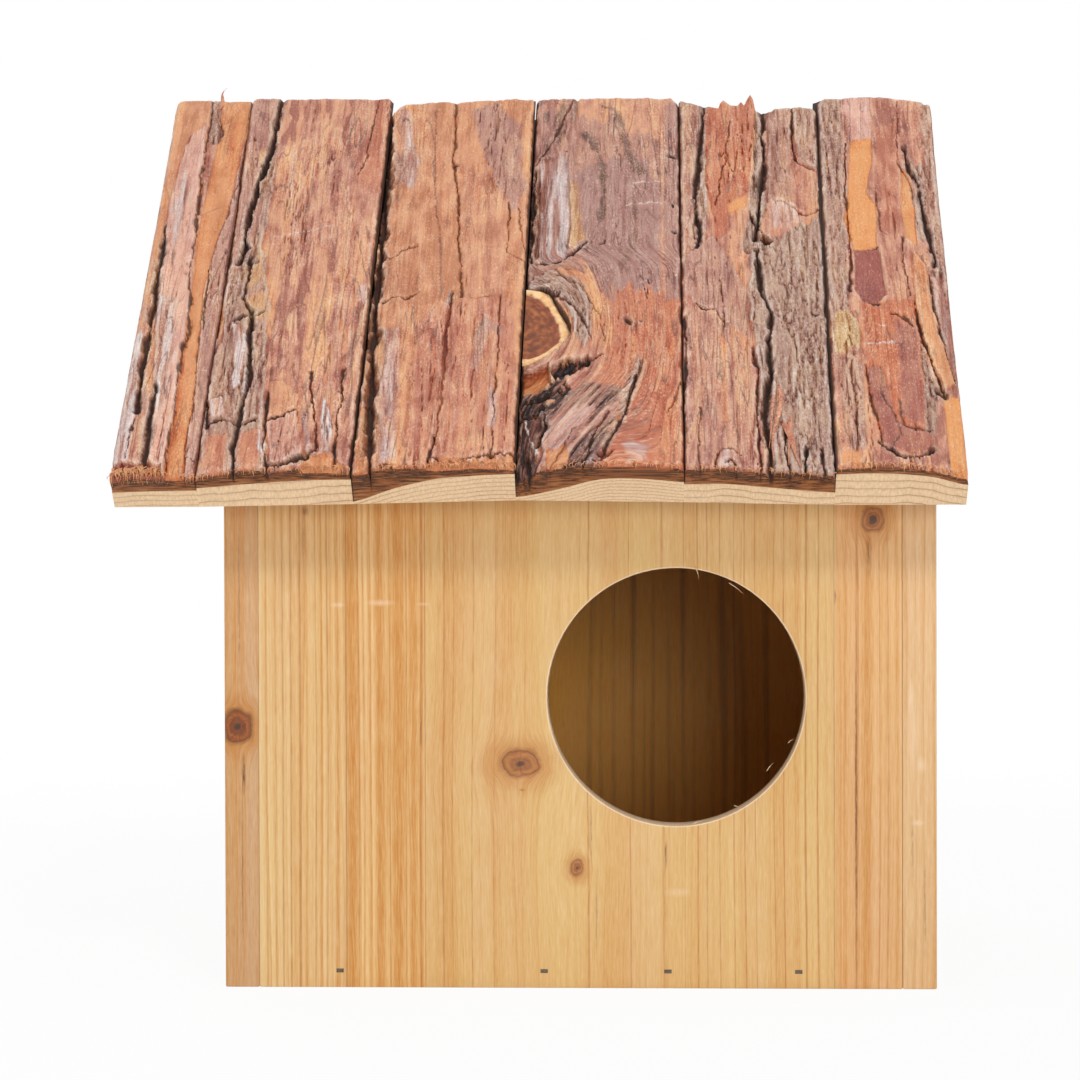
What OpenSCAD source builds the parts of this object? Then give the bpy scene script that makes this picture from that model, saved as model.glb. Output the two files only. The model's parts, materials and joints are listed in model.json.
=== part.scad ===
// Squirrel house: a pine box with a round entrance under a lift-off gable roof of bark slabs.
// The origin is the middle of the box's footprint on the ground, the front faces -Y, +Z is up.

/* [Box] */
// Width of the box over both side walls
box_w = 210; // [190:1:260]
// Depth of the box over the front and back walls
box_d = 186; // [150:1:220]
// Height of the front and back walls at their outer faces
front_h = 162; // [145:1:200]
// Thickness of each side wall
side_t = 10; // [8:0.5:14]
// Thickness of the front and back walls
front_t = 10; // [8:0.5:14]
// Thickness of the floor board
floor_t = 10; // [8:0.5:14]

/* [Entrance] */
// Radius of the round entrance in the front wall
entrance_r = 38; // [25:0.5:42]
// Distance of the entrance's centre to the right of the middle
entrance_x = 28.6; // [0:0.1:32]
// Height of the entrance's centre above the ground
entrance_z = 86; // [70:0.5:95]

/* [Roof] */
// Slope of both halves of the roof, in degrees
pitch = 45; // [35:1:50]
// Distance that the roof's underside runs out past the front and back walls
eave_out = 20; // [10:0.5:35]
// Distance that the front slabs run past the ridge, over the ends of the back slabs
ridge_lap = 16; // [12:0.5:18]
// Distance that the roof runs out past the left wall
left_out = 28.8; // [10:0.1:40]
// Gap between the roof and the wall edges that it rests on
seat_gap = 0.3; // [0.2:0.05:0.6]
// Height of the bow in each sawn roof panel, at its highest
panel_bow = 2.3; // [0:0.1:3]
// Place of the top of the bow, from the middle of the box
bow_x = -12; // [-30:1:30]
// Reach of the bow to each side of its top
bow_reach = 95; // [60:1:120]

/* [Slabs] */
// Width of the first cut of slab
slab_1_w = 24.6; // [20:0.1:40]
// Width of the second cut of slab
slab_2_w = 44.8; // [30:0.1:60]
// Width of the third cut of slab
slab_3_w = 47; // [30:0.1:60]
// Width of the fourth cut of slab, which holds the branch knot
slab_4_w = 48.3; // [35:0.1:60]
// Width of the fifth cut of slab
slab_5_w = 43.1; // [30:0.1:60]
// Width of the sixth cut of slab
slab_6_w = 37.6; // [30:0.1:60]
// Radius of the sawn branch knot
knot_r = 15.6; // [10:0.1:20]
// Distance of the knot's centre beyond the slab's left edge
knot_out = 5.6; // [3:0.1:8]
// Distance of the knot's centre down the slope from the ridge
knot_down = 100; // [60:1:120]
// Height of the knot's sawn face above the slab's underside
knot_top = 12.6; // [11:0.1:15]
// Width of the dark ring between the knot and the bark
knot_gap = 0.4; // [0.3:0.05:1]

/* [Beam and battens] */
// Width of the ridge beam
beam_w = 24; // [18:1:30]
// Depth of the ridge beam, from its top edge down
beam_h = 24; // [20:1:30]
// Width of each batten, along the slope
batten_w = 20; // [15:1:28]
// Thickness of each batten
batten_t = 8; // [6:0.5:10]
// Play of the beam and the battens inside each wall
beam_play = 0.6; // [0.4:0.1:1.5]

/* [Brads] */
// Length of the brads through the walls
brad_len = 25; // [20:1:32]
// Distance that the battens' brads reach into the slabs
brad_bite = 5; // [4:0.5:5.5]
// Width of a brad's T-shaped head
brad_head_w = 2.2; // [1.8:0.1:3]
// Thickness of a brad's head
brad_head_t = 0.8; // [0.5:0.1:1.2]
// Width of a brad's shank
brad_w = 1; // [0.8:0.1:1.4]
// Thickness of a brad's shank and head, across its width
brad_t = 1.2; // [0.8:0.1:1.4]
// Depth that a head is punched below the board's face
brad_sink = 0.3; // [0.1:0.05:0.6]
// Distance of the lowest and highest side brads from the ends of the wall
brad_end = 18; // [12:1:30]
// Number of brads up each corner of the box
corner_brads = 4; // [2:1:6]
// Number of brads from each side wall into the floor
side_floor_brads = 3; // [2:1:5]
// Number of brads through each batten
batten_brads = 5; // [3:2:5]
// Distance between the brads through a batten
batten_brad_gap = 40; // [38:1:42]

/* [Hidden] */
pine = "#E3BE85";
slab_wood = "#DDB988";
bark_brown = "#8C4A2F";
steel = "#6E6A64";

half_w = box_w / 2;
half_d = box_d / 2;
inner_half_w = half_w - side_t;
inner_half_d = half_d - front_t;
beam_half = inner_half_w - beam_play;
beam_shoulder = beam_w / 2 * tan(pitch);
wall_apex = front_h + half_d * tan(pitch);
roof_apex = wall_apex + seat_gap / cos(pitch);
slope_len = (half_d + eave_out) / cos(pitch);
batten_brad_len = batten_t + brad_bite - brad_sink;
// Lower edge of the batten down the slope, just inside the front wall
batten_low = (inner_half_d - beam_play) / cos(pitch);
// A back slab starts this far above the ridge line, and is cut off under the front slabs
ridge_run = 30;
// Larger than the whole object, for cuts that run right through it
beyond = 600;
// Cuts run this far past the face that they open
past = 1;

// Places of the brads through the front wall into the floor, from the middle of the box
floor_brad_x = [-71, -10.5, 26, 64.5];

// The six cuts of slab: thickness of the wood at five places from the left edge to the right
wood_cuts = [
    [6.0, 6.2, 6.4, 6.6, 6.7],
    [7.6, 8.6, 9.4, 10.0, 9.9],
    [1.0, 5.8, 9.2, 10.3, 10.6],
    [1.3, 4.6, 8.8, 9.2, 8.1],
    [7.3, 7.7, 6.8, 5.8, 5.0],
    [12.2, 12.7, 12.3, 10.9, 7.9]
];
// Thickness of the same slabs with their bark, at the same places
bark_cuts = [
    [12.2, 13.4, 13.6, 12.8, 12.0],
    [12.2, 14.0, 14.6, 14.8, 14.0],
    [12.8, 14.8, 14.8, 15.2, 13.8],
    [9.6, 13.8, 15.0, 15.2, 14.2],
    [14.0, 14.2, 13.2, 12.8, 12.0],
    [15.0, 16.2, 15.9, 14.4, 11.6]
];
// Furrows in the bark of each cut: place from the left edge, start and length down the slope,
// reach to each side and depth
furrows = [
    [[13, -ridge_run, beyond, 2.4, 3.5]],
    [[8, -ridge_run, beyond, 3, 3.5], [16, 20, 60, 2, 1.5], [24, 120, beyond, 2.4, 1.6]],
    [[1.8, -ridge_run, beyond, 2.4, 3], [24, -ridge_run, beyond, 2.4, 2.2], [10, 10, 45, 3, 2]],
    [[6, 120, beyond, 3, 2.5], [20, 60, 60, 2.4, 1.8], [33, 10, 100, 2, 1.6]],
    [[5, 12, 58, 2.4, 2.5], [24, -ridge_run, beyond, 3.2, 4]],
    [[9, -ridge_run, beyond, 2, 1.2], [34.5, 60, beyond, 2.4, 1.8]]
];
slab_widths = [slab_1_w, slab_2_w, slab_3_w, slab_4_w, slab_5_w, slab_6_w];
slab_count = len(slab_widths);
knot_slab = 3;
// The cut used at each place, from left to right, on the front and on the back of the roof
front_order = [0, 1, 2, 3, 4, 5];
back_order = [3, 0, 5, 2, 4, 1];
// Straight pieces in the curved top of a slab
profile_steps = 16;

// Left edge of the slab at a place, with the slabs side by side in the given order
function slab_left(order, place) =
    place == 0 ? -half_w - left_out
               : slab_left(order, place - 1) + slab_widths[order[place - 1]];

// Height of the bowed panel's underside above a straight one
function bow(x) = panel_bow * pow(cos(90 * min(1, abs(x - bow_x) / bow_reach)), 2);

// Smooth curve through evenly spaced heights, at a fraction of the way along
function curve(heights, fraction) =
    let (
        last = len(heights) - 1,
        i = min(floor(fraction * last), last - 1),
        u = fraction * last - i,
        a = heights[max(i - 1, 0)],
        b = heights[i],
        c = heights[i + 1],
        d = heights[min(i + 2, last)]
    )
    b + u * (c - a) / 2
      + u * u * (a - 2.5 * b + 2 * c - d / 2)
      + u * u * u * (1.5 * (b - c) + (d - a) / 2);

// Height of a slab's top at a fraction of its width, for a slab whose left edge is at x
function top_at(heights, x, width, fraction) =
    bow(x) + (bow(x + width) - bow(x)) * fraction + curve(heights, fraction);

// Top line of that slab, as points from left to right
function top_line(heights, x, width) =
    [for (step = [0:profile_steps])
        let (fraction = step / profile_steps)
        [x + width * fraction, top_at(heights, x, width, fraction)]];

function backwards(points) = [for (i = [len(points) - 1:-1:0]) points[i]];

// Puts a shape on the front slope: x across, y outwards from the underside, z down from the ridge
module on_front_slope() {
    translate([0, 0, roof_apex]) rotate([90 + pitch, 0, 0]) children();
}

// Takes off what reaches through the underside of the front slope
module butt_cut() {
    difference() {
        children();
        on_front_slope() translate([-beyond / 2, 0, -beyond / 2]) cube(beyond);
    }
}

// A T-headed brad driven along +Z from a face at z = 0
module brad(length) {
    translate([-brad_head_w / 2, -brad_t / 2, brad_sink]) cube([brad_head_w, brad_t, brad_head_t]);
    translate([-brad_w / 2, -brad_t / 2, brad_sink]) cube([brad_w, brad_t, length]);
}

// The hole that a brad makes, open at the face
module brad_hole(length) {
    translate([-brad_head_w / 2, -brad_t / 2, -past])
        cube([brad_head_w, brad_t, past + brad_sink + brad_head_t]);
    translate([-brad_w / 2, -brad_t / 2, -past]) cube([brad_w, brad_t, past + brad_sink + length]);
}

module at_front_brads() {
    for (x = floor_brad_x) translate([x, -half_d, floor_t / 2]) rotate([-90, 0, 0]) children();
}

module at_back_brads() {
    rotate([0, 0, 180]) at_front_brads() children();
}

module at_left_brads() {
    rise = (front_h - 2 * brad_end) / (corner_brads - 1);
    run = 2 * (inner_half_d - brad_end) / (side_floor_brads - 1);
    for (side = [-1, 1], i = [0:corner_brads - 1])
        translate([-half_w, side * (half_d - front_t / 2), brad_end + i * rise])
            rotate([0, 90, 0]) children();
    for (i = [0:side_floor_brads - 1])
        translate([-half_w, brad_end - inner_half_d + i * run, floor_t / 2])
            rotate([90, 0, 90]) children();
}

module at_right_brads() {
    mirror([1, 0, 0]) at_left_brads() children();
}

module at_batten_brads() {
    on_front_slope()
        for (i = [0:batten_brads - 1])
            translate([(i - (batten_brads - 1) / 2) * batten_brad_gap, -batten_t, 0])
                translate([0, 0, batten_low - batten_w / 2]) rotate([-90, 0, 0]) children();
}

// Side wall: a gable with its top edges cut to the roof's slope
module side_wall_blank() {
    translate([-half_w, 0, 0]) rotate([90, 0, 90]) linear_extrude(side_t)
        polygon([[-half_d, 0], [half_d, 0], [half_d, front_h], [0, wall_apex], [-half_d, front_h]]);
}

module left_wall() {
    color(pine) difference() {
        side_wall_blank();
        at_left_brads() brad_hole(brad_len);
    }
}

module right_wall() {
    color(pine) difference() {
        mirror([1, 0, 0]) side_wall_blank();
        at_right_brads() brad_hole(brad_len);
    }
}

// Front wall between the side walls, with its top edge bevelled to the roof's slope
module front_wall_blank() {
    translate([-inner_half_w, 0, 0]) rotate([90, 0, 90]) linear_extrude(2 * inner_half_w)
        polygon([[-half_d, 0], [-inner_half_d, 0],
                 [-inner_half_d, front_h + front_t * tan(pitch)], [-half_d, front_h]]);
}

module front_wall() {
    color(pine) difference() {
        front_wall_blank();
        translate([entrance_x, 0, entrance_z])
            rotate([90, 0, 0]) cylinder(r = entrance_r, h = box_d, $fn = 96);
        at_front_brads() brad_hole(brad_len);
        at_left_brads() brad_hole(brad_len);
        at_right_brads() brad_hole(brad_len);
    }
}

module back_wall() {
    color(pine) difference() {
        mirror([0, 1, 0]) front_wall_blank();
        at_back_brads() brad_hole(brad_len);
        at_left_brads() brad_hole(brad_len);
        at_right_brads() brad_hole(brad_len);
    }
}

// Floor between all four walls, flush with their lower edges
module floor_board() {
    color(pine) difference() {
        translate([-inner_half_w, -inner_half_d, 0])
            cube([2 * inner_half_w, 2 * inner_half_d, floor_t]);
        at_front_brads() brad_hole(brad_len);
        at_back_brads() brad_hole(brad_len);
        at_left_brads() brad_hole(brad_len);
        at_right_brads() brad_hole(brad_len);
    }
}

module front_wall_brads() {
    color(steel) at_front_brads() brad(brad_len);
}

module back_wall_brads() {
    color(steel) at_back_brads() brad(brad_len);
}

module left_wall_brads() {
    color(steel) at_left_brads() brad(brad_len);
}

module right_wall_brads() {
    color(steel) at_right_brads() brad(brad_len);
}

// Beam in the apex between the side walls, its top planed to both slopes
module ridge_beam() {
    color(pine) translate([-beam_half, 0, roof_apex]) rotate([90, 0, 90]) linear_extrude(2 * beam_half)
        polygon([[0, 0], [-beam_w / 2, -beam_shoulder], [-beam_w / 2, -beam_h],
                 [beam_w / 2, -beam_h], [beam_w / 2, -beam_shoulder]]);
}

// Batten across the slabs, inside the wall, with the brads driven up through it
module front_batten() {
    color(pine) difference() {
        on_front_slope()
            translate([-beam_half, -batten_t, batten_low - batten_w])
                cube([2 * beam_half, batten_t, batten_w]);
        at_batten_brads() brad_hole(batten_brad_len);
    }
}

module back_batten() {
    mirror([0, 1, 0]) front_batten();
}

module front_batten_brads() {
    color(steel) at_batten_brads() brad(batten_brad_len);
}

module back_batten_brads() {
    mirror([0, 1, 0]) front_batten_brads();
}

// The knot's branch on the front slope, for a slab whose left edge is at x
module knot(x, radius, height) {
    translate([x - knot_out, bow(x), knot_down])
        rotate([-90, 0, 0]) cylinder(r = radius, h = height, $fn = 64);
}

// The sawn wood of one slab, from a start above the ridge down to the eave
module slab(order, place, start) {
    cut = order[place];
    x = slab_left(order, place);
    width = slab_widths[cut];
    has_knot = order == front_order && place == knot_slab;
    underside = [[x + width, bow(x + width)], [x, bow(x)]];
    color(slab_wood) difference() {
        on_front_slope() {
            translate([0, 0, -start]) linear_extrude(start + slope_len)
                polygon(concat(underside, top_line(wood_cuts[cut], x, width)));
            if (has_knot) intersection() {
                knot(x, knot_r, knot_top);
                translate([x, 0, 0]) cube(beyond);
            }
        }
        at_batten_brads() brad_hole(batten_brad_len);
    }
}

// The bark of one slab, on its wood
module bark(order, place, start) {
    cut = order[place];
    x = slab_left(order, place);
    width = slab_widths[cut];
    has_knot = order == front_order && place == knot_slab;
    top = top_line(bark_cuts[cut], x, width);
    underside = backwards(top_line(wood_cuts[cut], x, width));
    color(bark_brown) on_front_slope() difference() {
        translate([0, 0, -start]) linear_extrude(start + slope_len)
            polygon(concat(top, underside));
        for (f = furrows[cut])
            translate([x + f[0], top_at(bark_cuts[cut], x, width, f[0] / width), f[1]])
                linear_extrude(f[2]) polygon([[-f[3], past], [0, -f[4]], [f[3], past]]);
        if (has_knot) knot(x, knot_r + knot_gap, beyond);
    }
}

module back_slab(place) {
    color(slab_wood) butt_cut() mirror([0, 1, 0]) slab(back_order, place, ridge_run);
}

module back_bark(place) {
    color(bark_brown) butt_cut() mirror([0, 1, 0]) bark(back_order, place, ridge_run);
}

left_wall();
right_wall();
front_wall();
back_wall();
floor_board();
front_wall_brads();
back_wall_brads();
left_wall_brads();
right_wall_brads();
ridge_beam();
front_batten();
back_batten();
front_batten_brads();
back_batten_brads();
for (i = [0:slab_count - 1]) {
    slab(front_order, i, ridge_lap);
    bark(front_order, i, ridge_lap);
    back_slab(i);
    back_bark(i);
}
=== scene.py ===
"""Squirrel house: the looks of a pine box under a lift-off gable roof of waney bark slabs.

Laid out as an add-on with one operator for each piece or group of like pieces. Sizes are in
millimetres up to the point where a mesh is placed, and pixels are those of the 1080 x 1080 photo.
"""

import json
import math

import bmesh
import bpy
import numpy as np
from mathutils import Matrix, Vector


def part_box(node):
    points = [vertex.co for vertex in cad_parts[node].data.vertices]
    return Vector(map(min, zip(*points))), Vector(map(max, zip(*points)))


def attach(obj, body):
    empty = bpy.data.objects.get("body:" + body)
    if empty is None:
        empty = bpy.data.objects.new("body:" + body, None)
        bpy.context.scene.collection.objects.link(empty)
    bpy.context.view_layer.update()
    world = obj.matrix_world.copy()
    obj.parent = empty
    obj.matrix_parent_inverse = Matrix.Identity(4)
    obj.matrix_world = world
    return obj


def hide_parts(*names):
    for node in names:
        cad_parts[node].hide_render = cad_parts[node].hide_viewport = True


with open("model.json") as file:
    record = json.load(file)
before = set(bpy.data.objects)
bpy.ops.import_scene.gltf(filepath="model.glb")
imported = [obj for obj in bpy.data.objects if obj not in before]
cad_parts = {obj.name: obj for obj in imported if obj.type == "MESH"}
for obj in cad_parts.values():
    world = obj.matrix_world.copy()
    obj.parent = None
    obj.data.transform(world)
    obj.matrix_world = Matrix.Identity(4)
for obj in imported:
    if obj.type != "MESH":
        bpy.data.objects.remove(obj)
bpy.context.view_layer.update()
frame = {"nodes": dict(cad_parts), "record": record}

bl_info = {
    "name": "Squirrel House",
    "version": (1, 0, 0),
    "blender": (4, 5, 0),
    "location": "View3D > Sidebar > Squirrel House",
    "description": "Dresses the packed squirrel house in pine, bark and dull steel",
    "category": "Object",
}

MM = 0.001

# The box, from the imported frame
HALF_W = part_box("right_wall")[1].x / MM
HALF_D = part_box("right_wall")[1].y / MM
INNER_HALF_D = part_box("floor_board")[1].y / MM
FRONT_WALL_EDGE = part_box("front_wall")[1].x / MM
WALL_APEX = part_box("right_wall")[1].z / MM
PITCH = math.atan2(WALL_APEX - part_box("front_wall")[1].z / MM, INNER_HALF_D)
ROOF_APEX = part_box("ridge_beam")[1].z / MM
SIN = math.sin(PITCH)
COS = math.cos(PITCH)
ENTRANCE = next(m for m in frame["record"]["mounts"] if m["name"] == "entrance")
ENTRANCE_X = ENTRANCE["pos_m"][0] / MM
ENTRANCE_Z = ENTRANCE["pos_m"][2] / MM
ENTRANCE_R = ENTRANCE["dims"]["r_mm"]
SLABS = 6
FRONT = -1
BACK = 1
SIDES = {FRONT: "front", BACK: "back"}

# The photo's camera: where it stands, in mm, how it is turned, and its focal length in pixels
PHOTO_SIZE = 1080
PHOTO_CAMERA = Vector((22.98, -955.41, 142.9))
PHOTO_PAN = math.radians(2.28)
PHOTO_TILT = math.radians(0.7)
PHOTO_ROLL = math.radians(-0.17)
PHOTO_FOCAL = 2927.6

# Width of the sensor that the focal length is given for, in mm
SENSOR_WIDTH = 36

# The sawn branch knot in the fourth slab of the front, in mm: how far its middle lies left of the
# slab and down the slope, its radius, and the height of its sawn face over the slab's underside
KNOT_SLAB = 4
KNOT_OUT = 5.6
KNOT_DOWN = 100
KNOT_R = 15.6
KNOT_TOP = 12.6

# Length down the slope over which the seam beside the knot leans, in mm
KNOT_SEAM_LENGTH = 176

# Outline of the knot's pale ring, down its right side, in photo pixels
KNOT_RIGHT = [(540, 291), (549, 294), (560, 313), (568, 325), (571, 334), (570, 343), (560, 352),
              (549, 359), (530, 364)]

# How far each seam of the front bark leans to the right from the eave to the ridge, in mm
SEAM_LEANS = [0, 0.4, 1.9, 1.6, -0.6, 1.0, 0]

# How dark and deep each seam of the front bark is, from 0 to 1: the seam sinks the bark and gets
# painted shade
SEAM_DARKNESS = [0.15, 0.45, 0.85, 0.9, 0.7, 0.75, 0.15]

# Distance between the growth rings in the wood of each slab, in mm
RING_DISTANCES = [1.9, 3.1, 1.7, 1.25, 2.6, 3.0]

# Tints of the bark beside its plain plates, each held as a mask on the mesh
TINTS = ("fresh", "pale", "rust", "mauve", "cork", "silver", "lichen", "plum", "dark")
STREAKY = ("silver", "dark")
MASKS = (*TINTS, "crack", "tone", "wear", "outer")

# A Mix node that lays one colour over another takes them at its inputs 6 and 7 and has its result
# at its third output
COLOUR_MIX = {"out": 2, "data_type": "RGBA"}

# Painted light on crests and painted shade in hollows: a crest stands this far above the mean
# of its neighbours within this reach, in mm
SHADING_HEIGHT = 0.9
SHADING_REACH = 1.3

# Upper end of the bark on each front slab, as it shows against the background
RIDGE_LINES = {
    1: [(174, 106), (178, 102), (190, 98.5), (196, 97.5), (215, 98.5), (225, 100), (240, 98), (253, 98)],
    2: [(255, 98.5), (282, 98.3), (285, 100), (289, 99), (330, 97.6), (360, 98), (376, 98.8), (393, 98)],
    3: [(395, 111), (400, 106), (406, 103.4), (430, 102), (451, 101.3), (457, 103), (462, 101),
        (494, 99.7), (517, 97.7), (527, 98.6), (536, 98.4)],
    4: [(537, 99), (550, 98.3), (572, 98.3), (576, 100.4), (579, 97.7), (610, 97), (653, 96.8),
        (664, 98.5), (674, 96.8), (678, 101)],
    5: [(681, 99.6), (699, 104.5), (719, 106.5), (721, 101), (724, 99.4), (731, 104), (738, 104),
        (741, 100), (744, 104), (747, 98), (750, 93.3), (753, 98), (755, 110.6), (770, 110.6),
        (774, 107.6), (799, 106.8), (808, 108), (814, 110.6)],
    6: [(816, 101), (823, 98.2), (841, 98), (845, 97), (880, 96), (905, 98.5), (923, 101.4), (926, 104)],
}

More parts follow.
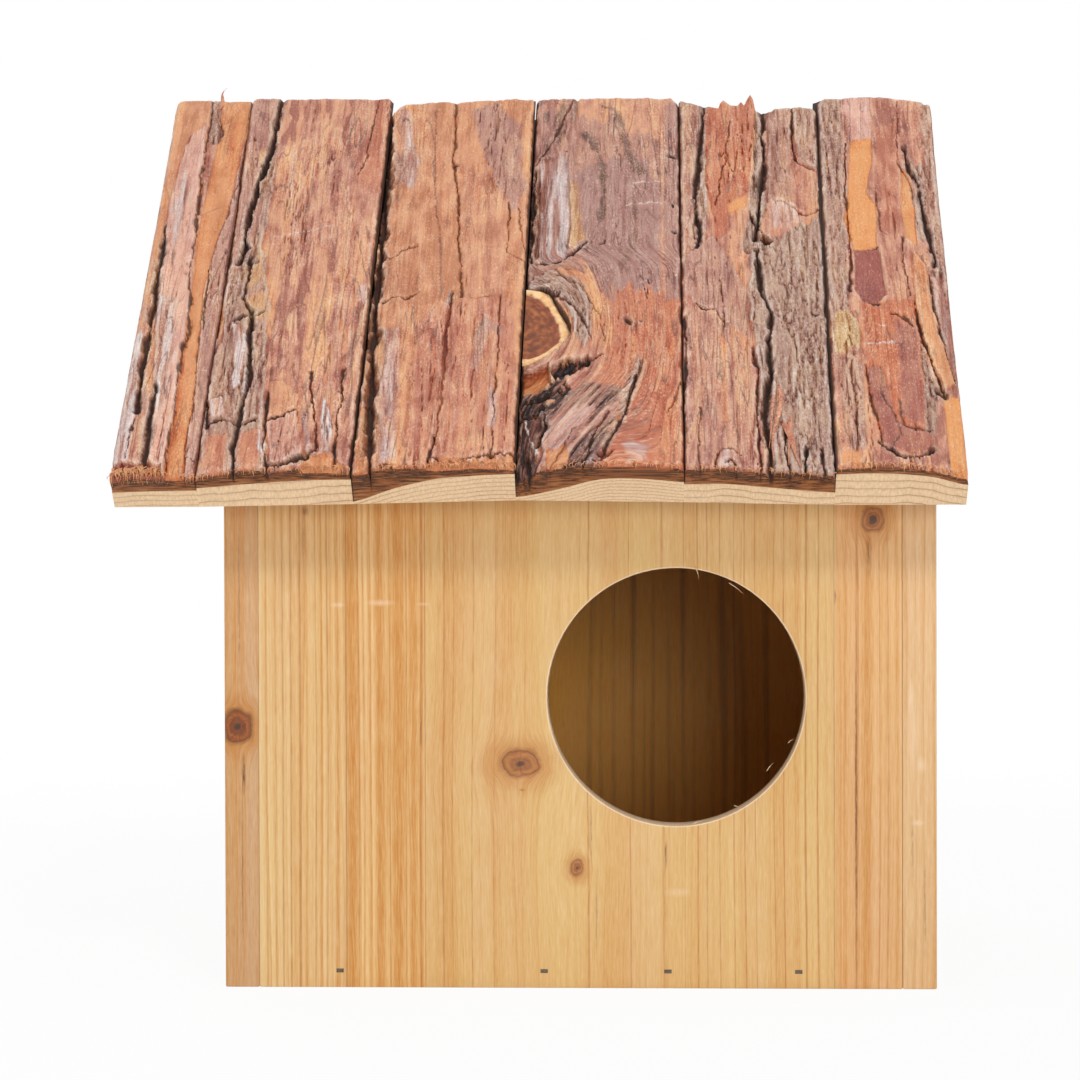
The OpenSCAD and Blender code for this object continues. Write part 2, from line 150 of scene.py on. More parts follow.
# Patches of the front bark by slab: tint, strength, rise in mm, raggedness of the outline in mm
# and the outline in photo pixels
PATCHES = {
    1: {
        "left strip": ("fresh", 0.45, 0, 0.6, [(168, 104), (194, 96), (190, 123), (182, 162), (171, 200),
            (166, 227), (163, 257), (140, 262), (158, 184)]),
        "silky ridge": ("pale", 0.55, 0.9, 0.4, [(191, 140), (207, 128), (203, 171),
            (199, 200), (196, 228), (192, 276), (189, 330), (182, 347), (173, 424), (163, 474),
            (148, 462), (152, 424), (155, 347), (157, 276), (166, 227), (171, 200), (182, 162)]),
        "orange top": ("fresh", 0.4, 0.6, 0.6, [(176, 94), (221, 94), (208, 128), (191, 140),
            (180, 162), (172, 200), (166, 190)]),
        "left plate": ("silver", 0.7, 0.4, 0.5, [(125, 345), (142, 330), (138, 380), (134, 420),
            (128, 462), (108, 464), (112, 420)]),
        "sheen": ("silver", 0.7, 0.1, 0.9, [(186, 171), (191, 192), (184, 219), (178, 250), (173, 238),
            (177, 204)]),
        "low sheen": ("silver", 0.8, 0.1, 0.9, [(159, 301), (174, 301), (173, 367), (165, 397),
            (159, 424), (155, 397)]),
        "brown border": ("mauve", 0.6, -0.3, 0.6, [(252, 98), (247, 142), (237, 177), (224, 219),
            (211, 257), (203, 315), (196, 367), (192, 409), (184, 480), (198, 480), (207, 420),
            (213, 367), (219, 330), (230, 260), (242, 180), (254, 98)]),
        "peeled strip": ("fresh", 0.62, -1.0, 0.3, [(222, 95), (251, 95), (248, 133), (241, 152),
            (234, 184), (226, 215), (217, 238), (210, 261), (203, 295), (200, 330), (196, 367),
            (192, 409), (186, 435), (184, 482), (162, 482), (167, 447), (177, 397), (184, 347),
            (192, 295), (198, 234), (207, 192), (215, 158), (220, 123)]),
        "brown tuft": ("cork", 0.8, -0.6, 0.8, [(211, 98), (222, 98), (222, 129), (215, 146), (209, 142)]),
        # Painted shade: dark red bark under the fibres, so the gaps between them look dark
        "frayed end": ("plum", 0.8, -1.2, 0.8, [(100, 464), (161, 466), (161, 484), (100, 484)]),
    },
    2: {
        "outer bark": ("cork", 0.65, 0.3, 0.9, [(256, 94), (284, 94), (281, 119), (275, 148), (273, 200),
            (263, 238), (265, 276), (272, 305), (268, 328), (265, 370), (265, 424), (266, 482),
            (199, 482), (201, 424), (207, 367), (222, 330), (226, 276), (232, 238), (238, 192),
            (249, 152)]),
        "brown plate": ("mauve", 0.5, 0.4, 0.6, [(256, 94), (282, 94), (276, 140), (262, 176),
            (246, 214), (240, 250), (233, 262), (236, 214), (246, 160)]),
        "red block": ("rust", 0.45, 0.5, 0.4, [(205, 432), (227, 433), (225, 472), (201, 472)]),
        "second red block": ("rust", 0.45, 0.5, 0.4, [(238, 434), (262, 432), (258, 470), (236, 472)]),
        "olive strip": ("lichen", 0.4, -0.3, 0.7, [(263, 150), (273, 152), (272, 177), (263, 192),
            (257, 177)]),
        "olive patch": ("lichen", 0.4, 0.2, 0.7, [(245, 253), (263, 253), (265, 278), (249, 288),
            (242, 269)]),
        "crumbling border": ("dark", 0.55, -0.3, 0.9, [(266, 146), (276, 148), (272, 180), (262, 205),
            (256, 235), (259, 262), (245, 262), (243, 240), (252, 200)]),
        "low olive patch": ("lichen", 0.35, 0.1, 0.8, [(242, 295), (266, 292), (268, 315), (249, 324)]),
        "silver flake": ("silver", 0.75, 0.6, 0.4, [(210, 328), (216, 332), (211, 355), (207, 347)]),
        "long silver flake": ("silver", 0.9, 0.7, 0.4, [(232, 321), (238, 323), (242, 347), (240, 382),
            (232, 386), (234, 351)]),
        "next silver flake": ("silver", 0.9, 0.7, 0.4, [(242, 332), (248, 334), (247, 382), (242, 397),
            (240, 367)]),
        "grey block": ("silver", 0.45, 0.8, 0.3, [(209, 397), (222, 393), (224, 412), (210, 414)]),
        "silver by the break": ("silver", 0.7, 0.4, 0.4, [(259, 432), (265, 432), (264, 455), (257, 451)]),
        "right strip": ("rust", 0.5, 0.25, 0.4, [(379, 95), (396, 95), (389, 192), (368, 192),
            (358, 177), (368, 148)]),
        "lower flake": ("pale", 0.3, 0.6, 0.3, [(266, 422), (296, 413), (303, 456), (270, 466)]),
        "orange flake": ("fresh", 0.3, 0.5, 0.3, [(270, 384), (284, 382), (299, 397), (295, 412),
            (268, 420)]),
        "white spot": ("silver", 0.55, 0, 0.8, [(357, 290), (365, 289), (368, 303), (360, 306)]),
        "left sheen": ("silver", 0.9, 0.3, 0.4, [(303, 414), (309, 416), (310, 451), (303, 455)]),
        "right sheen": ("silver", 0.9, 0.5, 0.4, [(323, 399), (330, 412), (332, 435), (328, 456),
            (320, 455), (322, 424)]),
        "frayed end": ("fresh", 0.6, -0.9, 0.6, [(303, 456), (330, 454), (347, 470), (303, 474)]),
    },
    3: {
        "orange cast": ("fresh", 0.38, 0, 1.5, [(380, 94), (545, 94), (528, 482), (352, 482)]),
        "left margin": ("fresh", 0.6, -0.5, 0.6, [(386, 94), (398, 94), (391, 142), (386, 183),
            (383, 228), (382, 250), (378, 286), (376, 330), (374, 360), (372, 400), (371, 482),
            (352, 482), (358, 430), (366, 360), (372, 300), (380, 200)]),
        "silver streak": ("silver", 0.75, 0.2, 0.5, [(400, 107), (409, 112), (412, 142), (419, 161),
            (413, 187), (406, 185), (403, 146)]),
        "grey growth": ("cork", 0.6, 0.1, 0.8, [(396, 154), (404, 152), (408, 180), (398, 182)]),
        "pale strip": ("silver", 0.5, 0.2, 0.5, [(384, 327), (398, 329), (398, 374), (394, 460),
            (380, 460), (380, 402)]),
        "orange upper left": ("fresh", 0.35, -0.3, 0.8, [(384, 250), (418, 246), (418, 292), (383, 297)]),
        "orange sheet": ("fresh", 0.22, 0, 1.5, [(463, 170), (500, 180), (505, 250), (500, 330),
            (465, 320)]),
        "mauve stain": ("mauve", 0.6, 0.1, 1.0, [(474, 110), (498, 105), (520, 130), (526, 190),
            (515, 215), (495, 180), (480, 150)]),
        "grey furrow bed": ("cork", 0.8, -0.3, 0.4, [(454, 292), (450, 292), (443, 320), (440, 368),
            (436, 400), (432, 442), (437, 446), (443, 423), (447, 394), (449, 368), (451, 341)]),
        "red lower end": ("rust", 0.3, 0, 1.5, [(424, 310), (515, 300), (515, 470), (400, 470)]),
        "arch": ("mauve", 0.7, 0.15, 0.7, [(472, 366), (476, 333), (486, 317), (500, 329), (503, 340),
            (490, 330), (482, 345), (478, 372)]),
        "silver crack": ("silver", 0.7, 0.2, 0.3, [(491, 392), (496, 394), (495, 427), (490, 429)]),
        "frayed end": ("fresh", 0.5, -0.9, 0.8, [(427, 460), (470, 462), (515, 453), (518, 482),
            (427, 482)]),
    },
    4: {
        "violet cast": ("mauve", 0.6, 0, 1.5, [(505, 90), (690, 150), (690, 320), (600, 300),
            (505, 300)]),
        "red cast": ("rust", 0.65, 0, 1.5, [(620, 260), (700, 300), (700, 490), (590, 490), (600, 380)]),
        "grey upper bark": ("mauve", 0.95, 0, 1.5, [(575, 170), (640, 150), (665, 200), (660, 290),
            (600, 290), (575, 250)]),
        "silver wood": ("silver", 0.95, -1.0, 0.35, [(540, 158), (551, 155), (565, 155), (569, 187),
            (571, 228), (567, 255), (553, 258), (540, 252), (538, 187)]),
        "brown side": ("cork", 0.75, -1.2, 0.3, [(531, 167), (540, 161), (539, 250), (528, 254)]),
        "golden edge": ("lichen", 0.55, -0.2, 0.6, [(570, 181), (577, 187), (581, 228), (586, 244),
            (570, 250)]),
        "cork ridge": ("dark", 0.6, 0.5, 0.8, [(564, 97), (578, 97), (576, 122), (564, 142), (549, 156),
            (537, 156), (552, 134)]),
        "right strip": ("mauve", 0.8, 0.2, 0.5, [(665, 105), (681, 100), (683, 297), (666, 297),
            (662, 228)]),
        "grey swirl": ("cork", 0.8, 0.5, 1.2, [(529, 275), (556, 264), (590, 285), (592, 330),
            (585, 352), (575, 330), (566, 300), (548, 286), (529, 290)]),
        "golden swirl": ("fresh", 0.35, 0.3, 1.0, [(548, 262), (590, 275), (610, 310), (612, 350),
            (600, 352), (598, 320), (584, 288), (560, 274)]),
        "orange under the knot": ("fresh", 0.5, -3.2, 0.5, [(518, 366), (549, 360), (549, 382),
            (535, 386), (518, 384)]),
        "rubble": ("dark", 0.95, -1.6, 0.8, [(518, 384), (564, 378), (572, 390), (556, 407), (518, 411)]),
        "black strip": ("dark", 0.95, -1.4, 1.0, [(516, 407), (541, 407), (543, 447), (533, 482),
            (514, 482)]),
        "dark stripes": ("dark", 0.78, 0.2, 0.8, [(535, 415), (584, 385), (628, 392), (608, 440), (590, 482),
            (539, 482), (537, 447)]),
        "silver stripes": ("silver", 0.35, 0.2, 0.9, [(545, 423), (584, 407), (596, 411), (588, 435),
            (576, 443), (560, 464), (539, 472), (537, 447)]),
        "grey band": ("cork", 0.8, -0.2, 0.6, [(637, 358), (645, 366), (633, 402), (623, 427),
            (607, 453), (600, 451), (617, 423), (625, 394)]),
        "grey clump": ("silver", 0.35, 0.25, 0.8, [(621, 446), (634, 443), (648, 449), (644, 462),
            (628, 464)]),
        # Painted shade: the hollow under the knot is painted nearly black
        "black hollow": ("dark", 1, -3.0, 0.9, [(549, 366), (558, 362), (566, 360), (578, 361), (588, 357),
            (593, 361), (586, 367), (576, 372), (566, 377), (552, 377)]),
        "orange chips": ("fresh", 0.55, -0.3, 0.8, [(545, 450), (566, 448), (570, 466), (545, 470)]),
    },
    5: {
        "tan strip": ("cork", 0.4, 0.1, 0.4, [(681, 96), (700, 98), (699, 172), (694, 202), (695, 249),
            (683, 256), (678, 182)]),
        "left cork": ("cork", 0.75, -0.3, 0.7, [(700, 104), (706, 108), (706, 160), (708, 215),
            (700, 258), (692, 250), (692, 200), (697, 150)]),
        "orange inner bark": ("rust", 0.65, -0.4, 0.5, [(706, 98), (725, 98), (742, 98), (753, 90),
            (756, 121), (751, 162), (748, 194), (746, 208), (729, 214), (725, 239), (717, 241),
            (711, 207), (705, 190)]),
        "bright edge": ("fresh", 1, 0.2, 0.3, [(726, 205), (747, 194), (746, 208), (729, 215)]),
        "dark groove": ("cork", 0.9, -0.6, 0.6, [(756, 110), (768, 110), (767, 158), (768, 200),
            (760, 230), (750, 256), (742, 250), (748, 214), (753, 170)]),
        "rough top": ("cork", 0.45, 0.2, 0.9, [(766, 104), (791, 104), (791, 194), (770, 202),
            (764, 182)]),
        "top block": ("cork", 0.6, 0.7, 0.4, [(792, 104), (818, 106), (818, 168), (800, 160),
            (794, 140)]),
        "pale torn bark": ("silver", 0.45, 0.2, 0.9, [(770, 198), (791, 202), (803, 213), (791, 229),
            (770, 227)]),
        "outer bark": ("cork", 0.85, 0.3, 0.9, [(750, 240), (768, 245), (800, 222), (821, 215),
            (829, 341), (836, 482), (774, 482), (762, 407), (758, 366), (748, 300)]),
        "upper plate": ("mauve", 0.55, 0.4, 0.5, [(684, 262), (712, 240), (730, 262), (748, 292),
            (750, 341), (738, 333), (721, 321), (697, 309), (684, 300)]),
        "smooth plate": ("mauve", 0.3, 0.1, 0.3, [(684, 311), (721, 323), (738, 341), (755, 366),
            (757, 407), (758, 482), (684, 482), (682, 382)]),
        "golden streak": ("fresh", 0.35, 0, 1.0, [(720, 341), (728, 341), (727, 423), (722, 431)]),
        "curl": ("silver", 0.55, 0.9, 0.2, [(718, 470), (720, 458), (729, 453), (739, 458), (741, 470)]),
    },
    6: {
        "left strip": ("cork", 0.7, 0.1, 0.6, [(815, 96), (841, 94), (844, 141), (845, 194), (848, 264),
            (850, 315), (833, 321), (826, 292), (818, 194)]),
        "lichen": ("lichen", 0.75, 0.3, 1.0, [(834, 317), (848, 314), (862, 327), (858, 356),
            (836, 359)]),
        "strip under the lichen": ("cork", 0.5, -0.2, 0.8, [(836, 356), (858, 352), (866, 400),
            (872, 450), (852, 456), (842, 400)]),
        "red middle": ("rust", 0.9, 0.1, 0.6, [(862, 305), (925, 300), (932, 440), (880, 450), (866, 372)]),
        "pale top": ("pale", 0.7, 0.1, 0.6, [(842, 94), (870, 94), (871, 139), (850, 141)]),
        "orange window": ("fresh", 1, -0.9, 0.2, [(850, 141), (871, 139), (872, 162), (866, 194),
            (876, 207), (876, 250), (854, 252), (844, 223), (848, 194)]),
        "right orange window": ("fresh", 0.85, -0.7, 0.3, [(901, 168), (912, 170), (917, 243),
            (905, 237), (901, 202)]),
        "rose strip": ("rust", 0.3, 0.2, 0.5, [(874, 127), (897, 121), (900, 166), (901, 235),
            (880, 231), (878, 194), (872, 166)]),
        "red window": ("plum", 1, -0.8, 0.25, [(854, 252), (878, 250), (886, 296), (880, 304),
            (864, 304), (855, 292)]),
        "dark edge": ("cork", 0.9, -0.4, 0.8, [(911, 162), (929, 162), (936, 194), (931, 235),
            (919, 237), (913, 194)]),
        "right edge": ("cork", 0.6, 0.2, 0.8, [(918, 96), (930, 96), (942, 200), (950, 290),
            (934, 290), (928, 200)]),
        "grey edge": ("cork", 0.95, -0.8, 0.8, [(929, 262), (951, 270), (961, 385), (946, 345),
            (933, 304)]),
        "sheen of the grey edge": ("silver", 0.35, 0, 0.9, [(931, 266), (950, 272), (958, 380), (946, 345)]),
        "curled strip": ("fresh", 0.55, 0.9, 0.3, [(912, 250), (926, 262), (931, 290), (940, 325),
            (958, 374), (946, 386), (927, 351), (916, 311)]),
        "grey band": ("cork", 0.85, -0.4, 0.8, [(921, 341), (931, 366), (938, 402), (936, 439),
            (925, 423), (923, 382)]),
        "red plate": ("plum", 0.75, 0.2, 0.8, [(896, 320), (918, 330), (922, 400), (924, 425),
            (905, 420), (899, 380)]),
        "lower plate": ("plum", 0.7, 0.4, 0.4, [(866, 372), (881, 370), (895, 419), (905, 430),
            (930, 432), (932, 450), (905, 456), (884, 446)]),
        "orange side": ("fresh", 1, -0.3, 0.3, [(944, 390), (962, 390), (972, 482), (953, 482)]),
        "orange chips": ("fresh", 0.7, -0.2, 0.6, [(842, 452), (862, 450), (861, 464), (843, 463)]),
    },
}

# Strokes on the front bark by slab: mask, strength, reach to each side in mm, rise in mm and the
# line in photo pixels. A single point makes a dot.
STROKES = {
    1: {
        "furrow": ("crack", 1, 1.3, -2.2, [(166, 227), (161, 257), (155, 295), (147, 340), (145, 353),
            (140, 382), (136, 412)]),
        "second furrow": ("crack", 1, 1.1, -1.8, [(157, 384), (152, 414), (147, 443), (145, 464)]),
        "edge of the ridge": ("crack", 0.8, 0.8, -0.9, [(213, 96), (209, 133), (204, 162), (199, 200),
            (196, 238), (191, 276), (189, 330), (182, 347), (175, 405), (163, 474)]),
        "edge of the strip": ("crack", 0.7, 0.6, -0.6, [(252, 98), (247, 142), (238, 177), (226, 215),
            (211, 257), (203, 315), (199, 328), (196, 367), (192, 409), (185, 443), (184, 477)]),
        "left crack": ("crack", 0.9, 0.45, -0.8, [(134, 420), (129, 439), (125, 460)]),
        "cross crack": ("crack", 0.8, 0.4, -0.6, [(186, 456), (193, 458), (200, 456)]),
        "border crack": ("crack", 0.8, 0.5, -0.8, [(209, 265), (206, 300), (203, 328)]),
    },
    2: {
        "deep crack": ("crack", 1, 1.2, -3.2, [(285, 96), (280, 114), (277, 125), (274, 146), (266, 165),
            (258, 181), (257, 194), (250, 209), (246, 223), (244, 244), (238, 259)]),
        "middle crack": ("crack", 0.9, 1.0, -1.6, [(251, 255), (248, 276), (243, 295), (251, 311),
            (253, 330)]),
        "break": ("crack", 1, 1.0, -2.0, [(232, 317), (242, 312), (251, 317), (264, 312)]),
        "low crack": ("crack", 1, 1.2, -2.4, [(251, 317), (249, 347), (248, 382), (242, 405),
            (237, 424), (234, 443), (232, 474)]),
        "left crack": ("crack", 1, 0.8, -1.6, [(207, 353), (206, 376), (205, 405), (205, 424)]),
        "lower break": ("crack", 1, 0.9, -1.8, [(207, 420), (222, 416), (238, 424), (256, 420)]),
        "right crack": ("crack", 0.9, 0.9, -1.5, [(268, 392), (266, 410), (263, 443), (266, 474)]),
        "line by the right strip": ("crack", 0.8, 0.5, -0.7, [(379, 98), (373, 127), (367, 158),
            (359, 177)]),
        "pale line": ("silver", 0.6, 0.4, 0.1, [(295, 150), (292, 175), (291, 200)]),
        "scratch": ("silver", 0.8, 0.5, 0, [(268, 237), (291, 234), (331, 228)]),
        "upper flake edge": ("crack", 1, 0.7, -1.0, [(266, 421), (278, 418), (296, 412)]),
        "lower flake edge": ("crack", 1, 1.1, -1.8, [(268, 466), (284, 466), (301, 460), (312, 454)]),
        "fissure": ("crack", 0.9, 0.6, -1.2, [(311, 372), (312, 397), (315, 424), (316, 453)]),
        "right fissure": ("crack", 0.9, 0.8, -1.3, [(344, 370), (342, 397), (337, 424), (336, 441),
            (332, 466)]),
        "violet line": ("crack", 0.4, 0.4, -0.2, [(309, 150), (306, 230), (304, 275), (312, 300),
            (315, 345)]),
        "orange nick": ("fresh", 0.8, 0.6, 0.2, [(291, 309), (300, 306), (306, 309)]),
    },
    3: {
        "groove": ("crack", 1, 2.5, -3.4, [(393, 96), (389, 142), (384, 183), (381, 228), (380, 250),
            (376, 286), (373, 330), (372, 347), (370, 397), (369, 435), (370, 482)]),
        "upper break": ("crack", 1, 0.7, -1.0, [(381, 248), (389, 254), (402, 249), (418, 246)]),
        "lower break": ("crack", 1, 0.8, -1.2, [(383, 299), (394, 295), (406, 299), (418, 294)]),
        "upper crack": ("crack", 0.75, 0.7, -1.1, [(456, 98), (454, 163), (458, 199), (459, 248),
            (461, 297)]),
        "small knot": ("rust", 0.7, 1.7, 1.1, [(459, 168), (466, 176)]),
        "small knot's crack": ("crack", 1, 0.9, -1.0, [(454, 165), (459, 169)]),
        "violet line": ("dark", 0.4, 0.7, -0.2, [(436, 112), (434, 167), (436, 207), (441, 238),
            (441, 297)]),
        "split": ("crack", 0.8, 0.4, -0.7, [(510, 205), (507, 254), (527, 262)]),
        "cross split": ("crack", 0.7, 0.35, -0.5, [(519, 208), (523, 240), (527, 262)]),
        "furrow": ("crack", 0.6, 0.8, -1.1, [(452, 292), (449, 315), (446, 341), (444, 368), (441, 394),
            (438, 423), (434, 444)]),
        "right crack": ("crack", 0.8, 0.5, -0.9, [(499, 298), (499, 341), (495, 378), (494, 407),
            (491, 456)]),
        "end crack": ("crack", 1, 0.7, -1.4, [(435, 437), (432, 449), (427, 462)]),
        "end of the plates": ("crack", 0.8, 0.7, -0.8, [(430, 458), (455, 462), (480, 458), (515, 452)]),
        "left end": ("crack", 0.9, 0.5, -0.8, [(380, 464), (392, 464)]),
        "cross line": ("crack", 0.5, 0.4, -0.5, [(461, 297), (480, 299), (495, 298)]),
    },
    4: {
        "upper split": ("crack", 0.7, 0.6, -0.9, [(573, 98), (562, 126), (549, 146), (535, 161)]),
        "end of the silver wood": ("crack", 1, 0.9, -1.6, [(530, 255), (556, 260), (569, 256),
            (587, 245)]),
        "left shadow": ("crack", 0.9, 0.8, -1.4, [(535, 165), (532, 210), (530, 254)]),
        "upper dot": ("crack", 1, 1.7, -1.2, [(672, 157)]),
        "second dot": ("crack", 1, 1.5, -1.2, [(672, 206), (674, 209)]),
        "third dot": ("crack", 1, 1.5, -1.2, [(674, 233)]),
        "nick": ("crack", 1, 1.0, -1.2, [(566, 153)]),
        "pit": ("crack", 0.8, 0.8, -0.8, [(617, 228)]),
        "slit": ("crack", 0.9, 0.5, -0.8, [(600, 246), (608, 242)]),
        "scratch": ("silver", 0.7, 0.4, 0, [(633, 186), (664, 183)]),
        "second scratch": ("silver", 0.7, 0.4, 0, [(625, 208), (666, 205)]),
        "arch": ("dark", 0.75, 2.6, 0, [(588, 252), (597, 236), (603, 210), (604, 180), (598, 152),
            (585, 136)]),
        "outer arch": ("dark", 0.65, 2.4, 0, [(602, 106), (616, 112), (622, 132), (630, 156), (642, 176)]),
        "right arch": ("dark", 0.5, 1.8, 0, [(632, 200), (636, 230), (628, 258), (620, 276)]),
        "eye": ("dark", 0.6, 3.0, 0, [(546, 114), (548, 119)]),
        "round the eye": ("dark", 0.65, 1.2, 0, [(541, 103), (554, 101), (565, 110), (566, 128),
            (556, 144)]),
        "upper edge of the swirl": ("crack", 0.95, 1.2, -2.0, [(527, 284), (545, 286), (556, 294)]),
        "swirl line": ("crack", 0.7, 0.6, -0.9, [(553, 288), (568, 304), (580, 317), (590, 340)]),
        "second swirl line": ("crack", 0.6, 0.5, -0.7, [(556, 274), (582, 290), (600, 318), (604, 345)]),
        "bottom of the hollow": ("crack", 1, 0.9, -1.5, [(553, 369), (566, 370), (582, 364), (600, 357)]),
        "rubble crack": ("crack", 1, 1.3, -2.0, [(524, 392), (540, 394), (556, 388), (566, 396)]),
        "lower rubble crack": ("crack", 1, 1.3, -2.0, [(541, 402), (545, 425), (536, 440)]),
        "corner crack": ("crack", 1, 1.3, -2.0, [(527, 450), (530, 470)]),
        "upper nub": ("fresh", 1, 2.2, 2.8, [(563, 363), (567, 363)]),
        "middle nub": ("fresh", 0.9, 1.5, 1.6, [(545, 381), (548, 383)]),
        "lower nub": ("fresh", 0.8, 1.4, 1.2, [(549, 398), (554, 398)]),
        "crumb": ("fresh", 0.7, 0.9, 1.0, [(535, 392)]),
        "grey crumb": ("silver", 0.6, 1.1, 1.4, [(540, 409), (543, 413)]),
        "brown crumb": ("rust", 0.8, 1.2, 1.5, [(560, 386), (564, 388)]),
        "right crumb": ("rust", 0.7, 1.1, 1.6, [(578, 367), (583, 364)]),
        "silver glint": ("silver", 1, 0.8, 0.5, [(526, 411), (529, 430), (537, 447)]),
        "diagonal crack": ("crack", 0.8, 0.5, -0.9, [(609, 415), (596, 435), (584, 466)]),
        "diagonal furrow": ("crack", 0.9, 0.8, -1.3, [(636, 378), (629, 405), (619, 427), (600, 458)]),
        "stripe crack": ("crack", 0.7, 0.5, -0.7, [(575, 430), (560, 452), (548, 470)]),
        "knot dot": ("crack", 1, 1.1, -1.3, [(627, 324)]),
        "knot dot on the right": ("crack", 1, 1.0, -1.3, [(642, 323)]),
        "brown pit": ("crack", 0.9, 1.3, -1.5, [(606, 362)]),
        "eave crack": ("crack", 0.8, 0.6, -0.8, [(560, 466), (600, 462), (612, 452)]),
        "tear by the seam": ("crack", 0.7, 0.6, -0.8, [(680, 380), (674, 400), (666, 412)]),
    },
    5: {
        "left fissure": ("crack", 0.95, 1.0, -2.0, [(704, 104), (701, 141), (698, 172), (695, 202),
            (699, 233), (697, 251)]),
        "line in the orange": ("crack", 0.75, 0.5, -0.8, [(730, 121), (725, 158), (721, 176),
            (716, 207)]),
        "furrow": ("crack", 0.9, 1.2, -3.0, [(763, 104), (762, 137), (764, 158), (761, 182), (758, 211),
            (756, 240)]),
        "block's crack": ("crack", 0.9, 0.8, -1.5, [(791, 108), (792, 141), (796, 160), (814, 168)]),
        "torn crack": ("crack", 0.9, 0.7, -1.2, [(778, 200), (791, 204), (803, 212), (819, 203)]),
        "hollow": ("crack", 1, 2.3, -3.6, [(764, 236), (770, 241)]),
        "hollow's root": ("crack", 0.9, 0.9, -1.5, [(750, 214), (758, 226), (764, 236)]),
        "torn edge": ("crack", 0.95, 0.8, -1.2, [(696, 309), (706, 315), (714, 314), (722, 324)]),
        "deep furrow": ("crack", 0.85, 1.2, -3.0, [(756, 250), (760, 290), (772, 317), (768, 341),
            (770, 376), (764, 411), (771, 456), (772, 474)]),
        "thin line": ("crack", 0.9, 0.6, -1.2, [(753, 347), (757, 370), (758, 411), (760, 474)]),
        "plate crack": ("crack", 0.8, 0.45, -0.8, [(720, 285), (722, 300), (724, 330)]),
        "seam crack": ("crack", 0.9, 0.8, -1.2, [(684, 320), (686, 360), (684, 400), (683, 440)]),
        "plate fissure": ("crack", 0.8, 0.35, -0.6, [(700, 411), (699, 443), (699, 470)]),
        "eave gap": ("crack", 1, 1.2, -2.6, [(807, 445), (806, 464), (807, 478)]),
        "eave crack": ("crack", 0.9, 0.7, -1.2, [(822, 446), (826, 470)]),
        "splinter bed": ("crack", 0.9, 0.9, -1.6, [(788, 424), (784, 450), (790, 470)]),
        "chip": ("dark", 1, 1.1, -0.8, [(814, 311), (821, 312)]),
        "small chip": ("dark", 0.8, 0.7, -0.5, [(803, 339)]),
        "curl's shadow": ("crack", 1, 0.8, -1.0, [(716, 470), (719, 456), (729, 451), (741, 456)]),
        "curl's hollow": ("crack", 0.9, 0.8, -1.2, [(724, 468), (732, 464), (738, 470)]),
    },
    6: {
        "strip's crack": ("crack", 0.8, 0.7, -1.1, [(845, 145), (846, 178), (845, 194), (849, 235),
            (851, 292)]),
        "small knot": ("dark", 0.7, 1.8, 0.8, [(829, 194), (833, 197)]),
        "second small knot": ("dark", 0.7, 1.2, 0.6, [(846, 194)]),
        "middle crack": ("crack", 0.7, 0.6, -0.9, [(851, 362), (852, 382), (857, 411), (859, 446)]),
        "crack in the rose strip": ("crack", 0.7, 0.4, -0.6, [(897, 100), (897, 160), (902, 170)]),
        "window's side": ("crack", 0.7, 0.5, -0.6, [(876, 196), (880, 232), (888, 236)]),
        "plate's crack": ("crack", 0.8, 0.5, -0.8, [(901, 236), (904, 265), (910, 296)]),
        "right crack": ("crack", 0.95, 1.0, -1.8, [(903, 147), (909, 168), (917, 180), (922, 206),
            (932, 240), (935, 262)]),
        "edge crack": ("crack", 0.95, 0.8, -1.4, [(930, 270), (934, 305), (946, 345), (957, 375)]),
        "crack under the curl": ("crack", 0.9, 0.9, -1.5, [(914, 300), (921, 335), (934, 366),
            (945, 388)]),
        "left plate edge": ("crack", 0.8, 0.6, -0.9, [(866, 368), (870, 402), (879, 431), (882, 449)]),
        "plate edge": ("dark", 0.55, 0.7, -0.5, [(881, 370), (881, 398), (895, 419), (901, 435),
            (891, 451)]),
        "right plate edge": ("dark", 0.6, 0.9, -0.6, [(900, 402), (905, 427), (931, 429)]),
        "undercut": ("crack", 1, 1.3, -2.0, [(878, 444), (891, 453), (905, 458), (923, 456),
            (934, 449)]),
        "hole": ("crack", 1, 1.8, -2.4, [(940, 388), (944, 390)]),
        "scratch": ("silver", 0.7, 0.6, 0, [(864, 346), (895, 345)]),
        "upper scratch": ("silver", 0.7, 0.5, 0, [(880, 328), (893, 329)]),
        "seam of the windows": ("crack", 0.8, 0.4, -0.7, [(854, 251), (878, 250)]),
        "torn chips": ("crack", 0.8, 0.8, -0.9, [(893, 316), (903, 318), (912, 326)]),
        "dark nick": ("crack", 0.9, 0.9, -0.9, [(870, 304), (878, 307)]),
        "red nick": ("plum", 0.8, 1.0, 0, [(900, 126), (903, 129)]),
    },
}

# Patches of each back slab's bark, which the photo doesn't show: tint, strength and rise in mm
BACK_PATCHES = [("rust", 0.5, 0.2), ("cork", 0.8, 0.4), ("mauve", 0.7, 0.4), ("fresh", 0.9, -1.1),
                ("cork", 0.8, 0.4), ("pale", 0.6, 0.3), ("silver", 0.6, 0.2), ("lichen", 0.5, 0.2)]

